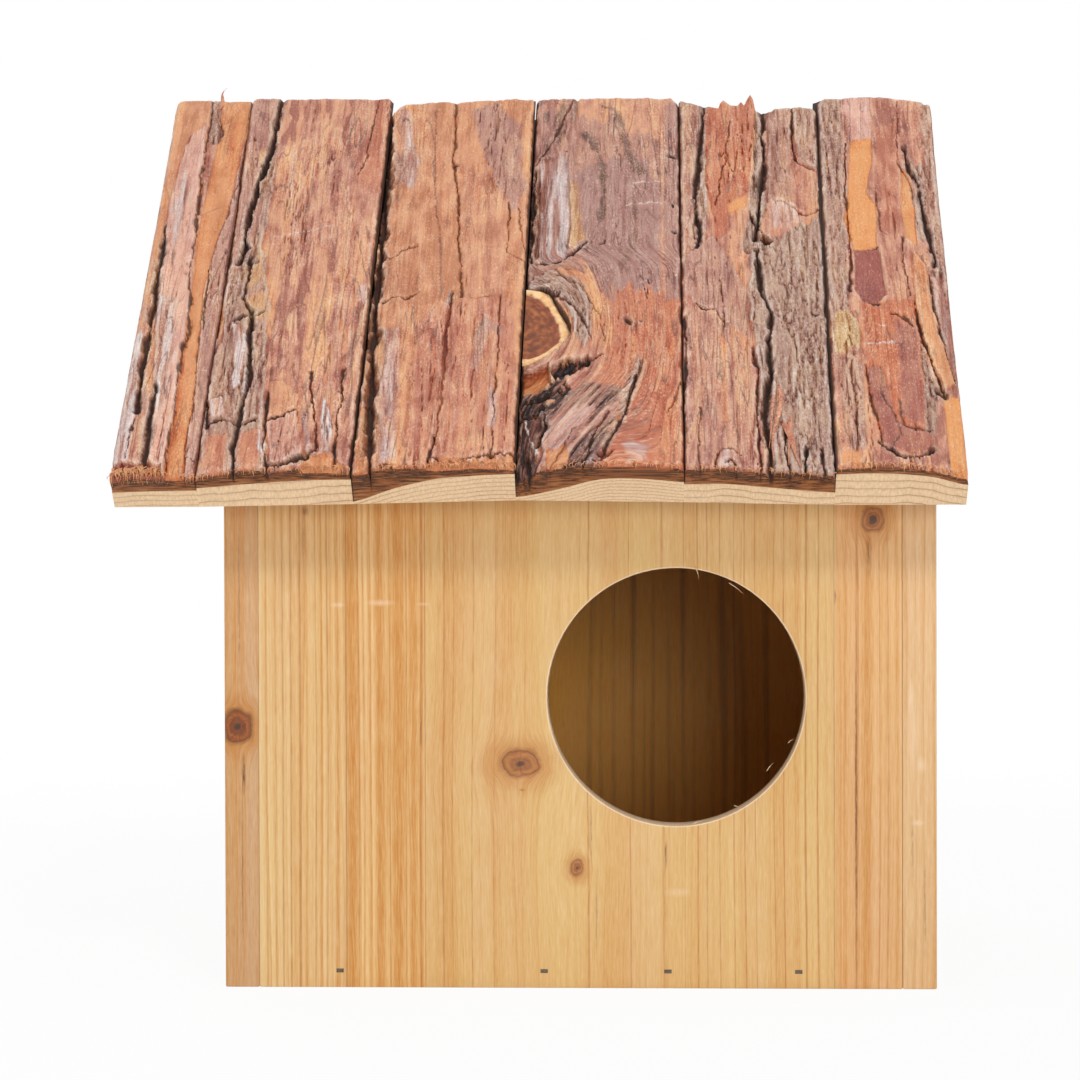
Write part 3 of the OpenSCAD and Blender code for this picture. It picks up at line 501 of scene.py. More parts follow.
# Loose bits of the front bark: slab, thickness, and the two ends in photo pixels with the height
# of each end above the bark, in mm
SPLINTERS = [
    (1, 1.7, (219, 112), 0.6, (228, 94), 2.2),
    (1, 0.5, (200, 219), 0.8, (245, 201), 1.0),
    (1, 0.4, (172, 246), 0.6, (185, 238), 0.6),
    (1, 0.5, (221, 128), 0.5, (212, 112), 1.2),
    (5, 2.4, (779, 388), 0.8, (774, 462), 1.1),
    (5, 2.6, (784, 424), 0.7, (801, 468), 1.2),
    (5, 1.6, (790, 415), 0.6, (789, 466), 1.0),
    (5, 1.2, (774, 396), 0.7, (769, 450), 0.9),
    (4, 0.5, (553, 268), 0.4, (590, 276), 0.5),
    (6, 1.0, (903, 170), 0.4, (921, 205), 0.7),
    (6, 0.6, (925, 262), 0.4, (932, 300), 0.8),
]

# Frayed fibres along the eave: slab, first and last pixel across, how many there are to each mm,
# and how far they hang over the cut end, in mm
FRINGES = [
    (1, 111, 162, 6.5, 4),
    (1, 185, 197, 3, 2.4),
    (2, 200, 300, 1, 1.6),
    (2, 300, 346, 3, 2.2),
    (3, 372, 428, 1, 1.6),
    (3, 428, 515, 2.5, 2.2),
    (4, 540, 680, 1, 1.6),
    (5, 690, 832, 1, 1.6),
    (6, 838, 965, 1.2, 1.8),
]
EAVE_PIXEL = 468

# Staves of the front wall: right edge in mm from the middle, tone and strength of the rings
FRONT_STAVES = [(-68.9, "#E6C58C", 0.8), (-45.5, "#E9C486", 0.9), (75.0, "#DAB475", 0.5),
                (200, "#E4B67E", 0.9)]
# Lines down the front wall, all of them soft: place across, half width in mm and strength
FRONT_BANDS = [(-92.6, 0.5, 0.5), (-89.9, 0.6, 0.45), (-80.6, 0.5, 0.5), (-76.2, 0.6, 0.6),
               (-71.4, 0.9, 0.7), (-67.2, 2.8, 0.95), (-63.7, 0.5, 0.6), (-61.9, 0.6, 0.6),
               (-58.9, 2.6, 0.9), (-53.4, 3.2, 0.95), (-49.0, 1.8, 0.85), (-46.6, 0.8, 0.7),
               (64.4, 1.4, 0.5), (84.5, 2.2, 0.7), (78.2, 0.7, 0.5), (93.2, 0.9, 0.5)]
FRONT_RINGS = [(-87.7, 0.45, 0.5), (-85.3, 0.45, 0.55), (-82.6, 0.5, 0.65), (-77.9, 0.35, 0.5),
               (-74.4, 0.45, 0.5), (-65.2, 0.3, 0.4), (-56.1, 0.3, 0.4), (-51.2, 0.3, 0.45),
               (-46.9, 0.5, 0.6), (-40.1, 0.45, 0.55), (-37.4, 0.3, 0.4), (-31.6, 0.35, 0.45),
               (-24.9, 0.3, 0.35), (2.8, 0.45, 0.55), (24.8, 0.6, 0.4), (31.2, 0.3, 0.4),
               (38.0, 0.35, 0.45), (46.0, 0.35, 0.45), (52.3, 0.3, 0.4), (57.8, 0.3, 0.4),
               (15.0, 0.3, 0.5), (35.2, 0.3, 0.6), (41.8, 0.25, 0.6), (49.2, 0.35, 0.6), (60.6, 0.3, 0.6),
               (66.9, 0.5, 0.7), (70.4, 0.4, 0.6), (81.4, 0.6, 0.6), (88.0, 0.3, 0.4), (90.5, 0.45, 0.4)]
GLUE_LINES = [(-FRONT_WALL_EDGE, 0.3, 0.6), (-68.9, 0.25, 0.4), (-45.5, 0.25, 0.35), (75.0, 0.25, 0.3),
              (FRONT_WALL_EDGE, 0.25, 0.55)]
# Marks on the front of the boards: place across and height, half width and half height in mm, strength
DARK_MARKS = [(-46.8, 76, 0.5, 9, 0.5), (25.5, 40, 0.45, 6, 0.75), (75.3, 115.4, 0.5, 2.6, 0.75),
              (81.4, 56, 0.5, 58, 0.8), (3.5, 46, 0.4, 12, 0.5), (5.0, 22, 0.4, 15, 0.45),
              (-81.4, 134, 0.9, 9, 0.4), (-80.9, 141, 1.4, 1.8, 0.7), (-16.9, 58.6, 1.0, 0.5, 0.7),
              (85.2, 129, 1.1, 9, 0.55)]
PALE_MARKS = [(-71.3, 113.3, 2.6, 0.9, 0.5), (-58.7, 113.9, 5, 1.2, 0.55), (-46, 113.5, 2.4, 0.7, 0.35),
              (29, 28.4, 4.5, 1.6, 0.35)]
LEFT_DARK_MARKS = [(-99.4, 63.5, 0.8, 7, 0.9), (-99.9, 33, 0.35, 26, 0.6), (-100.6, 115, 0.4, 30, 0.45)]
RIGHT_PALE_MARKS = [(97.5, 85, 1.2, 7, 0.5), (100.5, 66, 2.2, 3, 0.5), (99.5, 49, 2.4, 1.2, 0.55),
                    (98, 75, 2, 14, 0.35)]
RIGHT_DARK_MARKS = [(97.8, 42, 0.5, 14, 0.4), (101.5, 24, 0.5, 18, 0.4)]
# Knots: centre and radius in mm, and how far the distance along X, Y and Z is stretched
FRONT_KNOTS = [((-17.6, 0, 66.4), 4.7, (0.85, 0, 1.15)), ((-0.7, 0, 35.5), 2.1, (1.1, 0, 0.9)),
               ((86.5, 0, 138.3), 3.3, (1, 0, 0.85))]
LEFT_KNOTS = [((-101.2, -HALF_D, 77.2), 4.6, (0.95, 0.3, 1)), ((-105, 38, 152), 5.0, (0, 1, 0.9))]
RIGHT_KNOTS = [((105, 20, 108), 5.5, (0, 1, 0.9)), ((105, -48, 44), 3.0, (0, 1, 0.9))]
BACK_KNOTS = [((-44, 0, 128), 5.0, (1, 0, 0.9)), ((-52, 0, 32), 3.6, (1, 0, 0.9))]
# Colours of a board's knot from its heart outwards, at shares of twice its radius
KNOT_RINGS = [(0, "#33160A"), (0.09, "#55280F"), (0.16, "#A36A34"), (0.25, "#9C622E"),
              (0.33, "#BC8448"), (0.42, "#AC7238"), (0.46, "#744119"), (0.5, "#A46E36")]
# Slivers that the hole saw left on the entrance's rim: two ends across and up, in mm
RIM_SPLINTERS = [((34.4, 124.3), (35.3, 120.8)), ((44.2, 119.6), (48.6, 116.2)),
                 ((55.2, 64.2), (57.4, 66.8)), ((33.4, 48.6), (37.4, 49.8)),
                 ((45.5, 54.0), (47.6, 53.2)), ((61.5, 72.5), (63.2, 73.6))]


def linear(hex_colour):
    """Linear RGB of an sRGB hex colour."""
    values = [int(hex_colour[i:i + 2], 16) / 255 for i in (1, 3, 5)]
    return tuple(v / 12.92 if v <= 0.04045 else ((v + 0.055) / 1.055) ** 2.4 for v in values)


def colour(name, description, default):
    """A colour that the user can set, from an sRGB hex default."""
    return bpy.props.FloatVectorProperty(
        name=name, description=description, subtype="COLOR", size=3, min=0, max=1,
        default=linear(default))


def length(name, description, default_mm):
    """A length that the user can set, from a default in mm."""
    return bpy.props.FloatProperty(
        name=name, description=description, unit="LENGTH", subtype="DISTANCE", min=0,
        default=default_mm * MM)


def wattage(name, description, default):
    """A lamp's power that the user can set, in watts."""
    return bpy.props.FloatProperty(
        name=name, description=description, unit="POWER", min=0, default=default)


class HouseBoards(bpy.types.PropertyGroup):
    """Sizes and colours of the planed boards and their brads."""

    edge: length("Edge rounding", "Radius of the sanded edges of the boards", 0.4)
    rim: length("Rim rounding", "Radius of the sanded rim of the entrance", 0.5)
    orange: colour("Orange rings", "Late wood between the pale rings", "#C8883A")
    brown: colour("Brown rings", "Thin dark lines of late wood", "#B06A28")
    pale: colour("Side boards", "Tone of the side walls and the floor", "#DFB785")
    left: colour("Left board", "Tone of the left side wall", "#CCA57B")
    back: colour("Back boards", "Tone of the back wall", "#DDB27A")
    blush: colour("Pink wood", "Pink cast of some of the early wood", "#D7A883")
    cut: colour("Cut rim", "Pale cut face of the entrance and scuffs", "#F3D9B8")
    resin: colour("Resin", "Glow of resin round the knots", "#BC7B36")
    # Painted light: a deep orange tint for the dim warm light inside the box, on the back wall's inner face
    inside: colour("Inner face", "Raw inner face of the back wall, seen through the entrance", "#F0A632")
    knot: colour("Dark marks", "Glue lines, resin streaks and small cracks", "#5E3018")
    steel: colour("Brads", "Dull steel of the brad heads", "#6C6054")


class HouseBark(bpy.types.PropertyGroup):
    """Sizes and colours of the bark slabs."""

    across: length("Cell across", "Width of a cell of the front bark", 0.32)
    along: length("Cell along", "Length of a cell of the front bark", 0.46)
    back_scale: bpy.props.FloatProperty(
        name="Back cells", description="How much larger the cells of the back bark are", min=1,
        default=1.7)
    red_brown: colour("Red-brown plates", "Darkest layers of the plates", "#A86854")
    rose: colour("Rose plates", "Dark layers of the plates", "#C88A71")
    plate: colour("Plates", "Middle tone of the plates", "#D39878")
    orange_tan: colour("Orange plates", "Light layers of the plates", "#DB9F78")
    gold: colour("Golden plates", "Lightest layers of the plates", "#E3A877")
    violet: colour("Grain lines", "Thin wavy lines in the plates", "#6E453C")
    # Painted highlights: small pale flecks, strongest on the crests
    glint: colour("Glints", "Small worn flecks that catch the light", "#FBE3D4")
    fresh: colour("Inner bark", "Orange inner bark where a layer has come off", "#E29C60")
    pale: colour("Silky bark", "Pale pink silky bark", "#E8B7A6")
    rust: colour("Rust bark", "Red-orange layers", "#C4704A")
    mauve: colour("Mauve bark", "Violet-brown weathered layers", "#AC8075")
    cork: colour("Outer bark", "Rough grey-brown outer bark", "#AF8F80")
    # Weathered silver-grey bark, with painted sheen on its smooth streaks
    silver: colour("Silver bark", "Weathered silver streaks", "#DCCAC6")
    lichen: colour("Lichen", "Golden and olive growth", "#C4A06B")
    plum: colour("Plum bark", "Dark red glossy layers", "#97493A")
    # Nearly black bark round the knot, and painted shade in the hollow under it
    dark: colour("Charred bark", "Nearly black crumbs round the knot", "#4F3B38")
    # Painted shade over dark bark deep in the cracks, the seams and the furrows; also the darkest layer on
    # the cut ends and the painted shade on the slab sides
    crack: colour("Cracks", "Depth of the cracks", "#2E1A11")
    sawn: colour("Sawn bark", "Bark on the cut ends", "#98592C")
    wood: colour("Slab wood", "Sawn wood of the slabs", "#FADCB4")
    wood_ring: colour("Slab rings", "Rings on the cut ends of the slabs", "#A8754C")


class HouseStage(bpy.types.PropertyGroup):
    """Camera, light and floor."""

    lens: length("Focal length", "Focal length of the camera", PHOTO_FOCAL / PHOTO_SIZE * SENSOR_WIDTH)
    sensor: length("Sensor width", "Width of the camera's sensor", SENSOR_WIDTH)
    sky: bpy.props.FloatProperty(
        name="Sky", description="Strength of the even light from all round", min=0, default=0.36)
    key: wattage("Key lamp", "Power of the lamp above the front that casts the eave's shadow", 7.9)
    front: wattage("Front lamp", "Power of the low lamp that shines into the entrance", 11.6)
    overhead: wattage("Overhead lamp", "Power of the lamp above the ridge", 2.2)
    fill: wattage("Fill lamp", "Power of the lamp on the left", 2)
    back: wattage("Back lamp", "Power of the lamp behind the house", 9)
    floor: colour("Floor", "Colour of the studio floor", "#F4F4F4")


def photo_axes():
    """Right, up and forward of the photo's camera."""
    forward = Vector((-math.sin(PHOTO_PAN) * math.cos(PHOTO_TILT),
                      math.cos(PHOTO_PAN) * math.cos(PHOTO_TILT), -math.sin(PHOTO_TILT)))
    level = forward.cross(Vector((0, 0, 1))).normalized()
    upright = level.cross(forward)
    right = math.cos(PHOTO_ROLL) * level + math.sin(PHOTO_ROLL) * upright
    up = math.cos(PHOTO_ROLL) * upright - math.sin(PHOTO_ROLL) * level
    return right, up, forward


def to_world(side, across, out, down):
    """World places, in mm, of places on a slope: across, out of its underside, down from the ridge."""
    return (across, side * (out * SIN + down * COS), ROOF_APEX + out * COS - down * SIN)


def to_slope(side, y, z):
    """Height above a slope's underside and distance down it, of world places in mm."""
    return side * y * SIN + (z - ROOF_APEX) * COS, side * y * COS - (z - ROOF_APEX) * SIN


def seen_on_slope(pixels, out):
    """Places across and down the front slope, at a height above its underside, of photo pixels."""
    right, up, forward = photo_axes()
    middle = PHOTO_SIZE / 2
    camera_out, camera_down = to_slope(FRONT, PHOTO_CAMERA.y, PHOTO_CAMERA.z)
    places = []
    for x, y in pixels:
        ray = forward * PHOTO_FOCAL + right * (x - middle) + up * (middle - y)
        ray_out, ray_down = to_slope(FRONT, ray.y, ray.z + ROOF_APEX)
        reach = (out - camera_out) / ray_out
        places.append((PHOTO_CAMERA.x + reach * ray.x, camera_down + reach * ray_down))
    return np.array(places)


def smooth(value, low, high):
    """Smooth step from 0 at low to 1 at high."""
    share = np.clip((value - low) / (high - low), 0, 1)
    return share * share * (3 - 2 * share)


def noise(x, y, seed):
    """Smooth random heights from -1 to 1, one for each unit of x and y, blended between."""
    tile = 256
    heights = np.random.default_rng(seed).uniform(-1, 1, (tile, tile))
    column = np.floor(x).astype(int)
    row = np.floor(y).astype(int)
    right = smooth(x - column, 0, 1)
    below = smooth(y - row, 0, 1)
    left, top = column % tile, row % tile
    next_left, next_top = (column + 1) % tile, (row + 1) % tile
    upper = heights[top, left] * (1 - right) + heights[top, next_left] * right
    lower = heights[next_top, left] * (1 - right) + heights[next_top, next_left] * right
    return upper * (1 - below) + lower * below


def fractal(x, y, seed, octaves=4):
    """Noise with finer and weaker noise on it, from about -1 to 1."""
    height = np.zeros(np.broadcast(x, y).shape)
    for octave in range(octaves):
        height += noise(x * 2 ** octave, y * 2 ** octave, seed + octave) / 2 ** octave
    return height / 1.3


def distance_to_path(x, y, path):
    """Distance of each place to a line of points."""
    points = [tuple(p) for p in path]
    if len(points) == 1:
        return np.hypot(x - points[0][0], y - points[0][1])
    nearest = np.full(x.shape, np.inf)
    for (x0, y0), (x1, y1) in zip(points, points[1:]):
        run, rise = x1 - x0, y1 - y0
        share = np.clip(((x - x0) * run + (y - y0) * rise) / (run * run + rise * rise), 0, 1)
        nearest = np.minimum(nearest, np.hypot(x - x0 - share * run, y - y0 - share * rise))
    return nearest


def distance_inside(x, y, outline):
    """Distance of each place inside a closed outline, negative outside."""
    points = [tuple(p) for p in outline]
    closed = points + points[:1]
    inside = np.zeros(x.shape, bool)
    for (x0, y0), (x1, y1) in zip(closed, closed[1:]):
        if y0 != y1:
            crosses = ((y0 > y) != (y1 > y)) & (x < x0 + (y - y0) / (y1 - y0) * (x1 - x0))
            inside ^= crosses
    return np.where(inside, 1, -1) * distance_to_path(x, y, closed)


def node_on_slope(node, side):
    """Places across, out and down the slope, in mm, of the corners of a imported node."""
    corners = np.array([v.co for v in frame["nodes"][node].data.vertices]) / MM
    return corners[:, 0], *to_slope(side, corners[:, 1], corners[:, 2])


def eave_section(node, side):
    """Places across a slab or bark node, and its lowest and highest point at each, at its eave end."""
    across, out, down = node_on_slope(node, side)
    at_end = down > down.max() - 0.01
    across = np.round(across[at_end], 2)
    places = np.unique(across)
    heights = [out[at_end][across == place] for place in places]
    return places, np.array([h.min() for h in heights]), np.array([h.max() for h in heights])


def slope_reach(side):
    """Distances down a slope at which its slabs start and end."""
    down = node_on_slope(f"roof_{SIDES[side]}_slab_1", side)[2]
    return down.min(), down.max()


def bark_section(side, number):
    """Curves of a slab's wood and bark tops across it, and the furrows cut into the bark there."""
    wood_x, wood_low, wood_top = eave_section(f"roof_{SIDES[side]}_slab_{number}", side)
    bark_x, _, bark_top = eave_section(f"roof_{SIDES[side]}_bark_{number}", side)
    on_top = bark_top > np.interp(bark_x, wood_x, wood_top) + 0.3
    bark_x, bark_top = bark_x[on_top], bark_top[on_top]
    level = (bark_top[:-2] + bark_top[2:]) / 2
    furrow = np.concatenate(([False], bark_top[1:-1] < level - 0.9, [False]))
    furrows = list(zip(bark_x[furrow], (level - bark_top[1:-1])[furrow[1:-1]]))
    underside = (wood_x[[0, -1]], wood_low[[0, -1]])
    return (wood_x, wood_top), (bark_x[~furrow], bark_top[~furrow]), underside, furrows


def ridge_end(number, across, crown, start):
    """Distances down the front slope at which a slab's bark ends, at places across it."""
    seen = seen_on_slope(RIDGE_LINES[number], crown[1].mean())
    lean = (SEAM_LEANS[number - 1] + SEAM_LEANS[number]) / 2
    return np.clip(np.interp(across, seen[:, 0] - lean, seen[:, 1]), start, 0)


def hidden_end(ridge_at, level, floor_at, start):
    """Distances down the slope at which the wood ends, so that the bark hides it from the front."""
    return np.maximum(start, ridge_at - 0.8 * (level - floor_at))


def add(tree, kind, links=None, out=0, stops=None, **settings):
    """Adds a shader node with its settings, colour stops and links, and returns an output of it."""
    made = tree.nodes.new("ShaderNode" + kind)
    for name, value in settings.items():
        setattr(made, name, value)
    if stops:
        ramp = made.color_ramp
        while len(ramp.elements) < len(stops):
            ramp.elements.new(0.5)
        for element, (place, value) in zip(ramp.elements, stops):
            element.position = place
            element.color = (*value, 1) if len(value) == 3 else value
    for name, value in (links or {}).items():
        if isinstance(value, bpy.types.NodeSocket):
            tree.links.new(value, made.inputs[name])
        else:
            made.inputs[name].default_value = value
    return made.outputs[out] if len(made.outputs) else made


def new_material(name):
    """An empty node material of that name, and its node tree."""
    material = bpy.data.materials.new(name)
    material.use_nodes = True
    material.node_tree.nodes.clear()
    return material, material.node_tree


def finish_surface(tree, links, height=None, bump_mm=0.1):
    """The shader and output of a material, with a fine bump if it has a height."""
    if height is not None:
        links["Normal"] = add(tree, "Bump", {"Height": height, "Distance": bump_mm * MM})
    shader = add(tree, "BsdfPrincipled", links)
    add(tree, "OutputMaterial", {"Surface": shader})


def grey(value):
    """A grey as three equal channels."""
    return (value, value, value)


def total(tree, terms, start=0.0):
    """Sum of shader values, each times its weight."""
    for value, weight in terms:
        start = add(tree, "Math", {0: value, 1: weight, 2: start}, operation="MULTIPLY_ADD")
    return start


def stretched_noise(tree, place, across, along, detail, distortion=0.0):
    """Noise whose grains are so many mm wide and long, the length along the second axis."""
    scale = (1 / (across * MM), 1 / (along * MM), 1 / (across * MM))
    scaled = add(tree, "Mapping", {"Vector": place, "Scale": scale})
    return add(tree, "TexNoise",
               {"Vector": scaled, "Scale": 1, "Detail": detail, "Distortion": distortion}, out="Fac")


def pine_knots(tree, place, knots, shift):
    """Nearness to the closest knot, in radii, and the ring shift where the grain parts round each."""
    nearest = None
    for centre, radius, stretch in knots:
        middle = tuple(value * MM for value in centre)
        away = add(tree, "VectorMath", {0: place, 1: middle}, operation="SUBTRACT")
        away = add(tree, "VectorMath", {0: away, 1: stretch}, operation="MULTIPLY")
        ripple = add(tree, "TexNoise", {"Vector": place, "Scale": 1 / (radius * 1.1 * MM), "Detail": 3},
                     out="Fac")
        reach = add(tree, "VectorMath", {0: away}, out="Value", operation="LENGTH")
        radii = total(tree, ((reach, 1 / (radius * MM)), (ripple, 0.9)), -0.45)
        squared = add(tree, "Math", {0: radii, 1: radii}, operation="MULTIPLY")
        push = add(tree, "Math", {0: squared, 1: 0.4}, operation="ADD")
        push = add(tree, "Math", {0: 1.5, 1: push}, operation="DIVIDE")
        sideways = add(tree, "SeparateXYZ", {0: away}, out=0 if stretch[0] > 0.5 else 1)
        push = add(tree, "Math", {0: push, 1: sideways}, operation="MULTIPLY")
        shift = add(tree, "Math", {0: shift, 1: push}, operation="SUBTRACT")
        if nearest is None:
            nearest = radii
        else:
            nearest = add(tree, "Math", {0: nearest, 1: radii}, operation="MINIMUM")
    return nearest, shift


def pine_marks(tree, place, marks):
    """Strength of the nearest of a few short marks on a board, each a slim ellipse."""
    strongest = 0.0
    for across, height, half_width, half_height, strength in marks:
        away = add(tree, "VectorMath", {0: place, 1: (across * MM, 0, height * MM)}, operation="SUBTRACT")
        scale = (1 / (half_width * MM), 0, 1 / (half_height * MM))
        away = add(tree, "VectorMath", {0: away, 1: scale}, operation="MULTIPLY")
        reach = add(tree, "VectorMath", {0: away}, out="Value", operation="LENGTH")
        mark = add(tree, "MapRange", {0: reach, 1: 0.2, 2: 1, 3: strength, 4: 0})
        strongest = add(tree, "Math", {0: strongest, 1: mark}, operation="MAXIMUM")
    return strongest


def pine_lines(tree, sides, lines):
    """Strength of the nearest of the lines that run the whole length of a board."""
    far_past_its_ends = 1000
    flat = add(tree, "CombineXYZ", {0: sides})
    marks = [(x, 0, half, far_past_its_ends, strength) for x, half, strength in lines]
    return pine_marks(tree, flat, marks)


def pine_material(name, boards, tone, upright=True, knots=(), burn=1.0, dark_marks=(), pale_marks=(),
                  front=False, inside=False):
    """Planed and sanded pine: pale early wood with rings of orange late wood that end sharply.

    The rings run along the board and part round its knots. Planing leaves a satin surface, so
    colour carries the look and the bump is only the raised fine grain.
    """
    material, tree = new_material(name)
    place = add(tree, "TexCoord", out="Object")
    apart = add(tree, "SeparateXYZ", {0: place}).node
    # The pattern's first axis lies across the rings and its second along the board
    if upright:
        sides = add(tree, "Math", {0: apart.outputs["X"], 1: apart.outputs["Y"]}, operation="ADD")
        length_way = apart.outputs["Z"]
    else:
        sides = add(tree, "Math", {0: apart.outputs["Y"], 1: apart.outputs["Z"]}, operation="ADD")
        length_way = apart.outputs["X"]
    flat = add(tree, "CombineXYZ", {0: sides, 1: length_way})
    drift = stretched_noise(tree, flat, 45, 190, 1)
    shift = total(tree, ((drift, 5 * MM),), -2.5 * MM)
    knot, shift = pine_knots(tree, place, knots, shift)

    if front:
        # Each stave has its own tone and its own stretch of the ring pattern
        share = add(tree, "MapRange", {0: apart.outputs["X"], 1: -HALF_W * MM, 2: HALF_W * MM, 3: 0, 4: 1})
        starts = [0] + [(edge + HALF_W) / (2 * HALF_W) for edge, *_ in FRONT_STAVES[:-1]]
        shades = [linear(shade) for _, shade, _ in FRONT_STAVES]
        strengths = [grey(strength / 2) for *_, strength in FRONT_STAVES]
        offsets = [grey(0.17 * index) for index in range(len(starts))]
        tone, ringed, offset = [add(tree, "ValToRGB", {0: share}, stops=list(zip(starts, values)))
                                for values in (shades, strengths, offsets)]
        for ramp in (tone, ringed, offset):
            ramp.node.color_ramp.interpolation = "CONSTANT"
        shift = total(tree, ((offset, 0.3),), shift)

    moved = total(tree, ((shift, 1),), sides)
    flat = add(tree, "CombineXYZ", {0: moved, 1: length_way})
    band = stretched_noise(tree, flat, 12, 500, 2)
    gate = stretched_noise(tree, flat, 7, 260, 2)
    blush = stretched_noise(tree, flat, 17, 150, 2)
    fibre = stretched_noise(tree, flat, 0.45, 9, 3)
    pores = stretched_noise(tree, flat, 0.3, 3, 2)
    spacing = stretched_noise(tree, flat, 10, 600, 2)

    base = tone if front else (*tone, 1)
    orange, brown = (*boards.orange, 1), (*boards.brown, 1)
    amount = add(tree, "MapRange", {0: blush, 1: 0.42, 2: 0.7, 3: 0, 4: 0.3})
    shade = add(tree, "Mix", {0: amount, 6: base, 7: (*boards.blush, 1)}, **COLOUR_MIX)
    amount = add(tree, "MapRange", {0: band, 1: 0.45, 2: 0.75, 3: 0, 4: 0.6})
    shade = add(tree, "Mix", {0: amount, 6: shade, 7: orange}, **COLOUR_MIX)
    # Late wood darkens slowly and ends sharply, in rings about 3.4 mm apart and finer ones between
    late_wood = [(0, grey(0)), (0.45, grey(0.06)), (0.8, grey(0.6)), (0.9, grey(1)),
                 (0.95, grey(0.15)), (1, grey(0))]
    for distance, wander, strength, source, low in ((3.4, 5, 0.85, gate, 0.36), (1.3, 11, 0.5, band, 0.42)):
        at = total(tree, ((moved, 1 / (distance * MM)), (spacing, wander)))
        at = add(tree, "Math", {0: at}, operation="FRACT")
        ring = add(tree, "ValToRGB", {0: at}, stops=late_wood)
        amount = add(tree, "MapRange", {0: source, 1: low, 2: 0.62, 3: 0.12 * strength, 4: strength})
        amount = add(tree, "Math", {0: amount, 1: ring}, operation="MULTIPLY")
        if front:
            amount = add(tree, "Math", {0: amount, 1: ringed}, operation="MULTIPLY")
            amount = add(tree, "Math", {0: amount, 1: 2}, operation="MULTIPLY")
        shade = add(tree, "Mix", {0: amount, 6: shade, 7: orange}, **COLOUR_MIX)
    if front:
        wavering = total(tree, ((drift, 3.2 * MM),), apart.outputs["X"])
        wavering = add(tree, "Math", {0: wavering, 1: 1.6 * MM}, operation="SUBTRACT")
        fade = add(tree, "MapRange", {0: fibre, 1: 0.3, 2: 0.6, 3: 0.7, 4: 1})
        for lines, paint in ((FRONT_BANDS, orange), (FRONT_RINGS, brown)):
            amount = pine_lines(tree, wavering, lines)
            amount = add(tree, "Math", {0: amount, 1: fade}, operation="MULTIPLY")
            shade = add(tree, "Mix", {0: amount, 6: shade, 7: paint}, **COLOUR_MIX)
        # Glue lines between the staves, and the pale cut face of the entrance
        glue = pine_lines(tree, apart.outputs["X"], GLUE_LINES)
        shade = add(tree, "Mix", {0: glue, 6: shade, 7: (*boards.knot, 1)}, **COLOUR_MIX)
        away = add(tree, "VectorMath", {0: place, 1: (ENTRANCE_X * MM, 0, ENTRANCE_Z * MM)},
                   operation="SUBTRACT")
        away = add(tree, "VectorMath", {0: away, 1: (1, 0, 1)}, operation="MULTIPLY")
        away = add(tree, "VectorMath", {0: away}, out="Value", operation="LENGTH")
        cut = add(tree, "MapRange", {0: away, 1: (ENTRANCE_R + 0.5) * MM, 2: (ENTRANCE_R + 0.2) * MM,
                                     3: 0, 4: 0.85})
        shade = add(tree, "Mix", {0: cut, 6: shade, 7: (*boards.cut, 1)}, **COLOUR_MIX)
    for marks, paint in ((dark_marks, (*boards.knot, 1)), (pale_marks, (*boards.cut, 1))):
        if marks:
            amount = pine_marks(tree, place, marks)
            streaks = add(tree, "MapRange", {0: pores, 1: 0.35, 2: 0.6, 3: 0.35, 4: 1})
            amount = add(tree, "Math", {0: amount, 1: streaks}, operation="MULTIPLY")
            shade = add(tree, "Mix", {0: amount, 6: shade, 7: paint}, **COLOUR_MIX)
    if knots:
        # A glow of resin, then thin brown rings round a small dark heart
        glow = add(tree, "MapRange", {0: knot, 1: 0.7, 2: 2.9, 3: 0.75, 4: 0},
                   interpolation_type="SMOOTHSTEP")
        shade = add(tree, "Mix", {0: glow, 6: shade, 7: (*boards.resin, 1)}, **COLOUR_MIX)
        knot = add(tree, "Math", {0: knot, 1: 0.5}, operation="MULTIPLY")
        rings = [(at, linear(paint)) for at, paint in KNOT_RINGS]
        heart = add(tree, "ValToRGB", {0: knot}, stops=rings)
        heart = add(tree, "Gamma", {"Color": heart, "Gamma": burn})
        edge = add(tree, "MapRange", {0: knot, 1: 0.42, 2: 0.62, 3: 0.9, 4: 0})
        shade = add(tree, "Mix", {0: edge, 6: shade, 7: heart}, **COLOUR_MIX)

    # The inner face of the back wall gets a deep orange tint, painted for the dim warm light inside the box,
    # and dark streaks along the grain
    if inside:
        inward = add(tree, "MapRange", {0: apart.outputs["Y"], 1: (INNER_HALF_D + 0.2) * MM,
                                        2: (INNER_HALF_D + 0.5) * MM, 3: 0.9, 4: 0})
        shade = add(tree, "Mix", {0: inward, 6: shade, 7: (*boards.inside, 1)}, **COLOUR_MIX)
        streak = stretched_noise(tree, flat, 3.6, 220, 3)
        streak = add(tree, "MapRange", {0: streak, 1: 0.5, 2: 0.7, 3: 0, 4: 0.45})
        streak = add(tree, "Math", {0: streak, 1: inward}, operation="MULTIPLY")
        shade = add(tree, "Mix", {0: streak, 6: shade, 7: (*boards.knot, 1)}, **COLOUR_MIX)
    # Fibres and pores make the tone richer or paler
    power = total(tree, ((fibre, 0.55), (pores, 0.35)), 1 - 0.45)
    shade = add(tree, "Gamma", {"Color": shade, "Gamma": power})
    rough = add(tree, "MapRange", {0: fibre, 1: 0.3, 2: 0.7, 3: 0.48, 4: 0.62})
    finish_surface(tree, {"Base Color": shade, "Roughness": rough}, fibre, 0.06)
    return material


